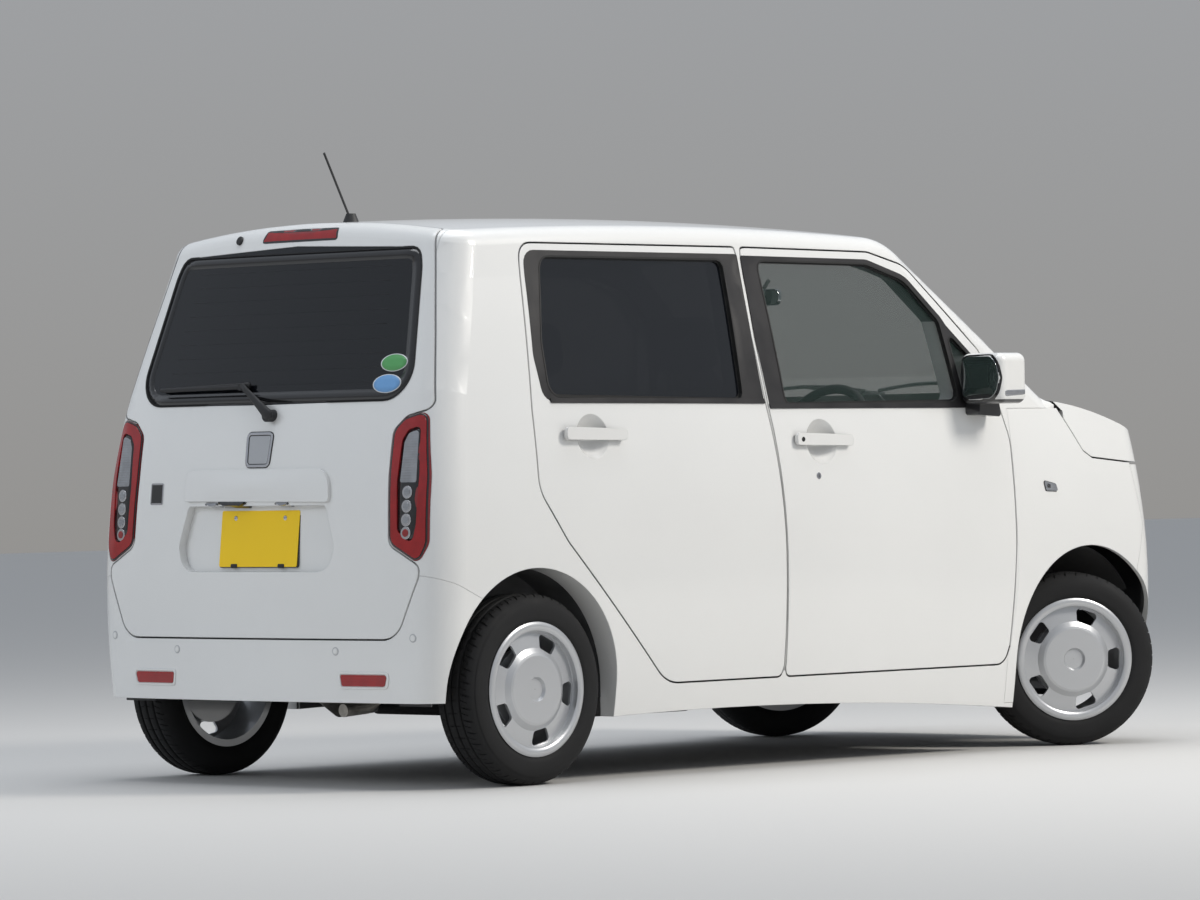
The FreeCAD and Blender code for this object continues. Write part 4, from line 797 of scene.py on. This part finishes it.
# %% Tyres with tread
# Half of a tyre's section from its bead to its middle line: millimetres along the axle, and the radius
TREAD_SIDE = [(-55, 181), (-63, 185), (-70, 192), (-74, 203), (-75.5, 206), (-76.6, 212), (-77.5, 230),
              (-76.5, 246), (-74, 252), (-73, 251), (-70, 259), (-64, 266), (-58, 271.6), (-54, 273.8),
              (-45, 275.4), (-35, 276.0), (-34, 275.6), (-33, 270.0), (-27, 270.0), (-26, 275.8), (-25, 276.4),
              (-14, 276.7), (-5, 276.8), (-4, 276.2), (-3, 270.2), (0, 270.0)]
TREAD = [(y / 1000, r / 1000) for y, r in TREAD_SIDE]
TREAD += [(-y, r) for y, r in TREAD[-2::-1]]
TYRE_R, PITCHES = 0.277, 46
# Places of the rings in one pitch: CUT_STEPS are the floor of a shoulder groove, SIPE_STEPS that of a sipe
STEPS = (0.0, 0.02, 0.13, 0.15, 0.40, 0.56, 0.575, 0.61, 0.625, 0.80)
CUT_STEPS, CUT_DEPTH, CUT_AT = (1, 2), 0.0045, ((0.042, 0.060),)
SIPE_STEPS, SIPE_DEPTH, SIPE_AT = (6, 7), 0.0030, ((0.0045, 0.022), (0.034, 0.054))
SLANT_FROM, SLANT_MIDDLE, SLANT_RISE = 0.03, 0.04, 0.018 / 0.05


def tread_depth(step, y):
    """Depth of the cross grooves at the shoulders and the fine sipes of the ribs."""
    for steps, stretches, depth in ((CUT_STEPS, CUT_AT, CUT_DEPTH), (SIPE_STEPS, SIPE_AT, SIPE_DEPTH)):
        if step in steps and any(low < abs(y) <= high for low, high in stretches):
            return depth
    return 0.0


SPINS = {joint["child"]: joint for joint in frame["joints"] if joint["name"].startswith("spin_")}


def axle_of(wheel):
    """Matrix of a wheel's own place: its middle, with local Y along the axle towards the car's left."""
    axis = Vector(SPINS[wheel]["axis"])
    if axis.y < 0:
        axis = -axis
    turn = Vector((0, 1, 0)).rotation_difference(axis).to_matrix().to_4x4()
    return Matrix.Translation(Vector(SPINS[wheel]["pos_m"])) @ turn


for name in [n for n in NODES if n.startswith("tyre_")]:
    wheel = name.replace("tyre_", "wheel_")
    axle = axle_of(wheel)
    bm = bmesh.new()
    rings = []
    for pitch in range(PITCHES):
        for step, offset in enumerate(STEPS):
            ring = []
            for y, r in TREAD:
                slant = SLANT_RISE * (abs(y) - SLANT_MIDDLE) / TYRE_R if abs(y) > SLANT_FROM else 0.0
                angle = 2 * pi * (pitch + offset) / PITCHES + slant
                reach = r - tread_depth(step, y)
                ring.append(bm.verts.new(axle @ Vector((reach * cos(angle), y, reach * sin(angle)))))
            rings.append(ring)
    bridge(bm, rings + rings[:1])
    close(bm)
    tyre = finish_mesh("treaded_" + name, bm, TYRE, wheel, replace=(name,))
    sharp = tyre.modifiers.new("sharp", "EDGE_SPLIT")
    sharp.split_angle = radians(50)
print("tyres", PITCHES, "pitches,", len(STEPS) * PITCHES * len(TREAD), "faces each")


# %% Wheel covers: ring and bare button on each hub
def turned(name, rows, place, look, body, segments=48):
    """Ring or button turned about local Y from rows of (distance along the axle, radius)."""
    bm = bmesh.new()
    rings = []
    for k in range(segments):
        angle = 2 * pi * k / segments
        rings.append([bm.verts.new(place @ Vector((r * cos(angle), y, r * sin(angle))))
                      for y, r in rows])
    bridge(bm, rings + rings[:1], loops=False)
    bmesh.ops.remove_doubles(bm, verts=bm.verts, dist=1e-6)
    close(bm)
    return finish_mesh(name, bm, look, body)


# Sections over the hub's face: how far each point stands out, and its radius
HUB_RING = ((-0.001, 0.0230), (0.0012, 0.0226), (0.0012, 0.0208), (-0.001, 0.0204))
HUB_BUTTON = ((-0.001, 0.0195), (0.0008, 0.0190), (0.0016, 0.012), (0.0018, 0.0))
for wheel in SPINS:
    place, way = axle_of(wheel), WAY[wheel.split("_")[-1]]
    start = place @ Vector((0, way * 0.3, 0))
    hub, _, _, _ = tree_of([wheel]).ray_cast(start, -way * (place.to_3x3() @ Vector((0, 1, 0))))
    face = abs((place.inverted() @ hub).y)
    for label, section, look in (("hub_ring_", HUB_RING, CHROME), ("hub_mark_", HUB_BUTTON, SILVER)):
        turned(label + wheel, [(way * (face + out), r) for out, r in section], place, look, wheel)
print("wheel cover marks", len(SPINS))


# %% Seats: crowned cushions with seams, standing for the plain solids
RIM_POWER, RIM_SHARE = 10, 0.55
SEAM_HALF, WING_FROM, CROWN_GAIN, WRINKLE, FILL = 0.022, 0.52, 1.2, 0.0012, 0.9


def pad_place(u, v, length, width, corner):
    """Point of a pad's outline with rounded corners, for a grid place in -1..1."""
    x, y = u * length / 2, v * width / 2
    cx, cy = length / 2 - corner, width / 2 - corner
    ax, ay = max(0.0, abs(x) - cx), max(0.0, abs(y) - cy)
    if ax > 0 and ay > 0:
        reach = max(ax, ay) / hypot(ax, ay)
        x, y = copysign(cx + ax * reach, x), copysign(cy + ay * reach, y)
    return x, y


def cushion(name, size, place, lean, replace, seams=(), cross=(), crown=0.012, groove=0.006, cells=(44, 44),
            corner=0.045, wing=0.0):
    """Stuffed pad of size (length, width, thickness): made face up, leant back about Y and put in its place."""
    length, width, thick = size
    bm = bmesh.new()
    nu, nv = cells
    rims = []
    for level in (1, -1):
        layer = []
        for i in range(nu + 1):
            row = []
            for j in range(nv + 1):
                u, v = -1 + 2 * i / nu, -1 + 2 * j / nv
                x, y = pad_place(u, v, length, width, corner)
                rim = (1 - abs(u) ** RIM_POWER) * (1 - abs(v) ** RIM_POWER)
                height = thick / 2 * (RIM_SHARE + (1 - RIM_SHARE) * sqrt(max(0.0, rim)))
                if level > 0:
                    height += crown * (1 - u * u) * (1 - v * v) * CROWN_GAIN
                    height += wing * max(0.0, abs(v) - WING_FROM) / (1 - WING_FROM) * rim
                    for seam in seams:
                        height -= groove * exp(-((abs(v) - seam) / SEAM_HALF) ** 2) * rim
                    for seam in cross:
                        if abs(v) < (seams[0] if seams else 1.0) + 0.02:
                            height -= groove * exp(-((u - seam) / SEAM_HALF) ** 2) * rim
                    height += WRINKLE * sin(9 * u + 4 * v) * sin(7 * v - 3 * u) * rim
                row.append(bm.verts.new((x, y, level * height)))
            layer.append(row)
        bridge(bm, list(zip(*layer))[::level], loops=False)
        rims.append([row[0] for row in layer] + layer[-1][1:] + [row[-1] for row in layer[-2::-1]]
                    + layer[0][-2:0:-1])
    bridge(bm, rims)
    bm.transform(Matrix.Translation(place) @ Matrix.Rotation(radians(lean), 4, "Y"))
    close(bm)
    made = finish_mesh(name, bm, FABRIC, "root", replace=replace)
    return made


def seat_pan(name, rows, y, half, replace):
    """Plain base under a cushion: its side outline, in millimetres, drawn across the width."""
    bm = bmesh.new()
    face = bm.faces.new([bm.verts.new(Vector((p.x, y - half, p.y))) for p in rounded(rows)])
    made = bmesh.ops.extrude_face_region(bm, geom=[face])
    for item in made["geom"]:
        if isinstance(item, bmesh.types.BMVert):
            item.co.y += 2 * half
    close(bm)
    piece = finish_mesh(name, bm, CABIN, "root", smooth=False, replace=replace)
    bevel = piece.modifiers.new("edge", "BEVEL")
    bevel.width = 0.006
    bevel.segments = 3
    bevel.limit_method = "ANGLE"


POST_R = 0.006


def post(name, x, y, low, high, replace):
    """Upright rod between a seat back and its head rest."""
    bm = bmesh.new()
    bmesh.ops.create_cone(bm, segments=16, radius1=POST_R, radius2=POST_R, depth=high - low, cap_ends=True,
                          matrix=Matrix.Translation((x, y, (low + high) / 2)))
    finish_mesh(name, bm, CHROME, "root", replace=replace)


SEAT_LEAN, BACK_LEAN, HEAD_LEAN = -4.0, -102, -97
own = ("front_seats",)
for label, y in (("driver", -0.330), ("passenger", 0.330)):
    cushion("seat_cushion_" + label, (0.555, 0.462, 0.165), (0.190, y, 0.545), SEAT_LEAN, own, (0.58,),
            (-0.30, 0.30), wing=0.018)
    cushion("seat_back_" + label, (0.560, 0.450, 0.130), (-0.110, y, 0.865), BACK_LEAN, own, (0.56,),
            (-0.45, 0.05, 0.50), wing=0.020)
    cushion("head_rest_" + label, (0.165, 0.245, 0.085), (-0.193, y, 1.282), HEAD_LEAN, own, crown=0.010,
            corner=0.05, cells=(24, 28))
    for k, offset in enumerate((-0.06, 0.06)):
        post("head_rest_post_%s_%d" % (label, k), -0.192, y + offset, 1.120, 1.225, own)
    seat_pan("seat_pan_" + label, [(-40, 478, 10), (0, 262, 20), (390, 262, 20), (420, 478, 10)], y, 0.19, own)
own = ("rear_seat",)
for label, y in (("left", 0.256), ("right", -0.256)):
    cushion("bench_cushion_" + label, (0.475, 0.488, 0.160), (-0.720, y, 0.560), SEAT_LEAN, own, (0.62,),
            (0.0,))
    cushion("bench_back_" + label, (0.545, 0.488, 0.095), (-1.066, y, 0.862), BACK_LEAN, own, (0.60,),
            (-0.3, 0.3))
    rest_y = y * 1.05
    cushion("bench_head_rest_" + label, (0.130, 0.225, 0.072), (-1.157, rest_y, 1.238), HEAD_LEAN, own,
            crown=0.006, cells=(24, 28))
    for k, offset in enumerate((-0.055, 0.055)):
        post("bench_post_%s_%d" % (label, k), -1.156, rest_y + offset, 1.120, 1.190, own)
seat_pan("bench_pan", [(-830, 470, 10), (-830, 262, 20), (-520, 262, 20), (-490, 470, 10)], 0.0, 0.485, own)
print("seats, bench and head rests")


# %% Cabin: inner mirror on its arm
INNER_MIRROR = rounded([(-105, 25, 20), (105, 25, 20), (100, -28, 20), (-100, -28, 20)])
INNER_MIRROR_X, INNER_MIRROR_Z, INNER_MIRROR_T = 0.505, 1.445, 0.018
bm = bmesh.new()
bm.faces.new([bm.verts.new(Vector((INNER_MIRROR_X, p.x, INNER_MIRROR_Z + p.y))) for p in INNER_MIRROR])
face_outwards(bm, Vector((1, 0, 0)))
thicken(finish_mesh("inner_mirror", bm, MIRROR, "root", smooth=False), INNER_MIRROR_T, 0.004, 3)
ARM, ARM_R = ((0.522, 0, 1.447), (0.548, 0, 1.470), (0.575, 0, 1.500)), 0.006
curve = bpy.data.curves.new("arm", "CURVE")
curve.dimensions = "3D"
curve.bevel_depth = ARM_R
curve.bevel_resolution = 6
curve.use_fill_caps = True
line = curve.splines.new("POLY")
line.points.add(len(ARM) - 1)
for point, place in zip(line.points, ARM):
    point.co = (*place, 1.0)
shape = new_object("arm_curve", curve)
mesh = bpy.data.meshes.new_from_object(shape.evaluated_get(bpy.context.evaluated_depsgraph_get()))
bpy.data.objects.remove(shape)
bm = bmesh.new()
bm.from_mesh(mesh)
bpy.data.meshes.remove(mesh)
finish_mesh("inner_mirror_arm", bm, TRIM, "root")
print("cabin details")

# %% Studio: pale floor, soft light and a pale surround
FLOOR_COLOUR, FLOOR_ROUGHNESS = (0.62, 0.61, 0.59, 1), 0.75
bm = bmesh.new()
bridge(bm, [[bm.verts.new((x, y, 0.0)) for x in np.linspace(-30, 60, 10)] for y in np.linspace(-30, 40, 8)],
       loops=False)
mesh = bpy.data.meshes.new("floor")
bm.to_mesh(mesh)
bm.free()
floor = new_object("floor", mesh)
floor_look = bpy.data.materials.new("pale_floor")
floor_look.use_nodes = True
floor_shader = floor_look.node_tree.nodes["Principled BSDF"].inputs
floor_shader["Base Color"].default_value = FLOOR_COLOUR
floor_shader["Roughness"].default_value = FLOOR_ROUGHNESS
mesh.materials.append(floor_look)

# The surround goes from a warm grey below the horizon to a pale blue above it
HORIZON, SKY_FROM = (0.48, (0.55, 0.53, 0.50, 1)), (0.62, (0.80, 0.86, 0.95, 1))
SURROUND_STRENGTH = 0.52
world = bpy.data.worlds.new("surround")
bpy.context.scene.world = world
world.use_nodes = True
tree = world.node_tree
way_up = add(tree, "ShaderNodeTexCoord").outputs["Generated"]
height = add(tree, "ShaderNodeSeparateXYZ", {0: way_up}).outputs["Z"]
ramp = add(tree, "ShaderNodeValToRGB", {0: spread(tree, height, 0.0, 1.0, -1.0, 1.0)})
for element, (position, colour) in zip(ramp.color_ramp.elements, (HORIZON, SKY_FROM)):
    element.position = position
    element.color = colour
feed(tree, tree.nodes["Background"].inputs["Color"], ramp.outputs[0])
tree.nodes["Background"].inputs["Strength"].default_value = SURROUND_STRENGTH


def lamp(name, place, target, size, power, colour):
    """Soft rectangular light at a place, turned to a target."""
    light = bpy.data.lights.new(name, "AREA")
    light.shape = "RECTANGLE"
    light.size, light.size_y = size
    light.energy = power
    light.color = colour
    holder = new_object(name, light)
    holder.location = place
    holder.rotation_euler = (Vector(target) - Vector(place)).to_track_quat("-Z", "Y").to_euler()
    return holder


lamp("key", (3.2, -7.0, 6.4), (0.2, 0, 0.8), (2.4, 2.4), 520, (1.0, 0.955, 0.89))
lamp("rear_fill", (-8.0, 3.0, 4.0), (-1.2, 0, 0.8), (4.0, 3.0), 130, (0.87, 0.93, 1.0)).visible_glossy = False
lamp("top", (0, 0, 6.5), (0, 0, 0), (6.0, 4.0), 200, (0.95, 0.97, 1.0))
bpy.context.scene.view_settings.view_transform = "Standard"
bpy.context.scene.view_settings.look = "None"
print("studio ready")
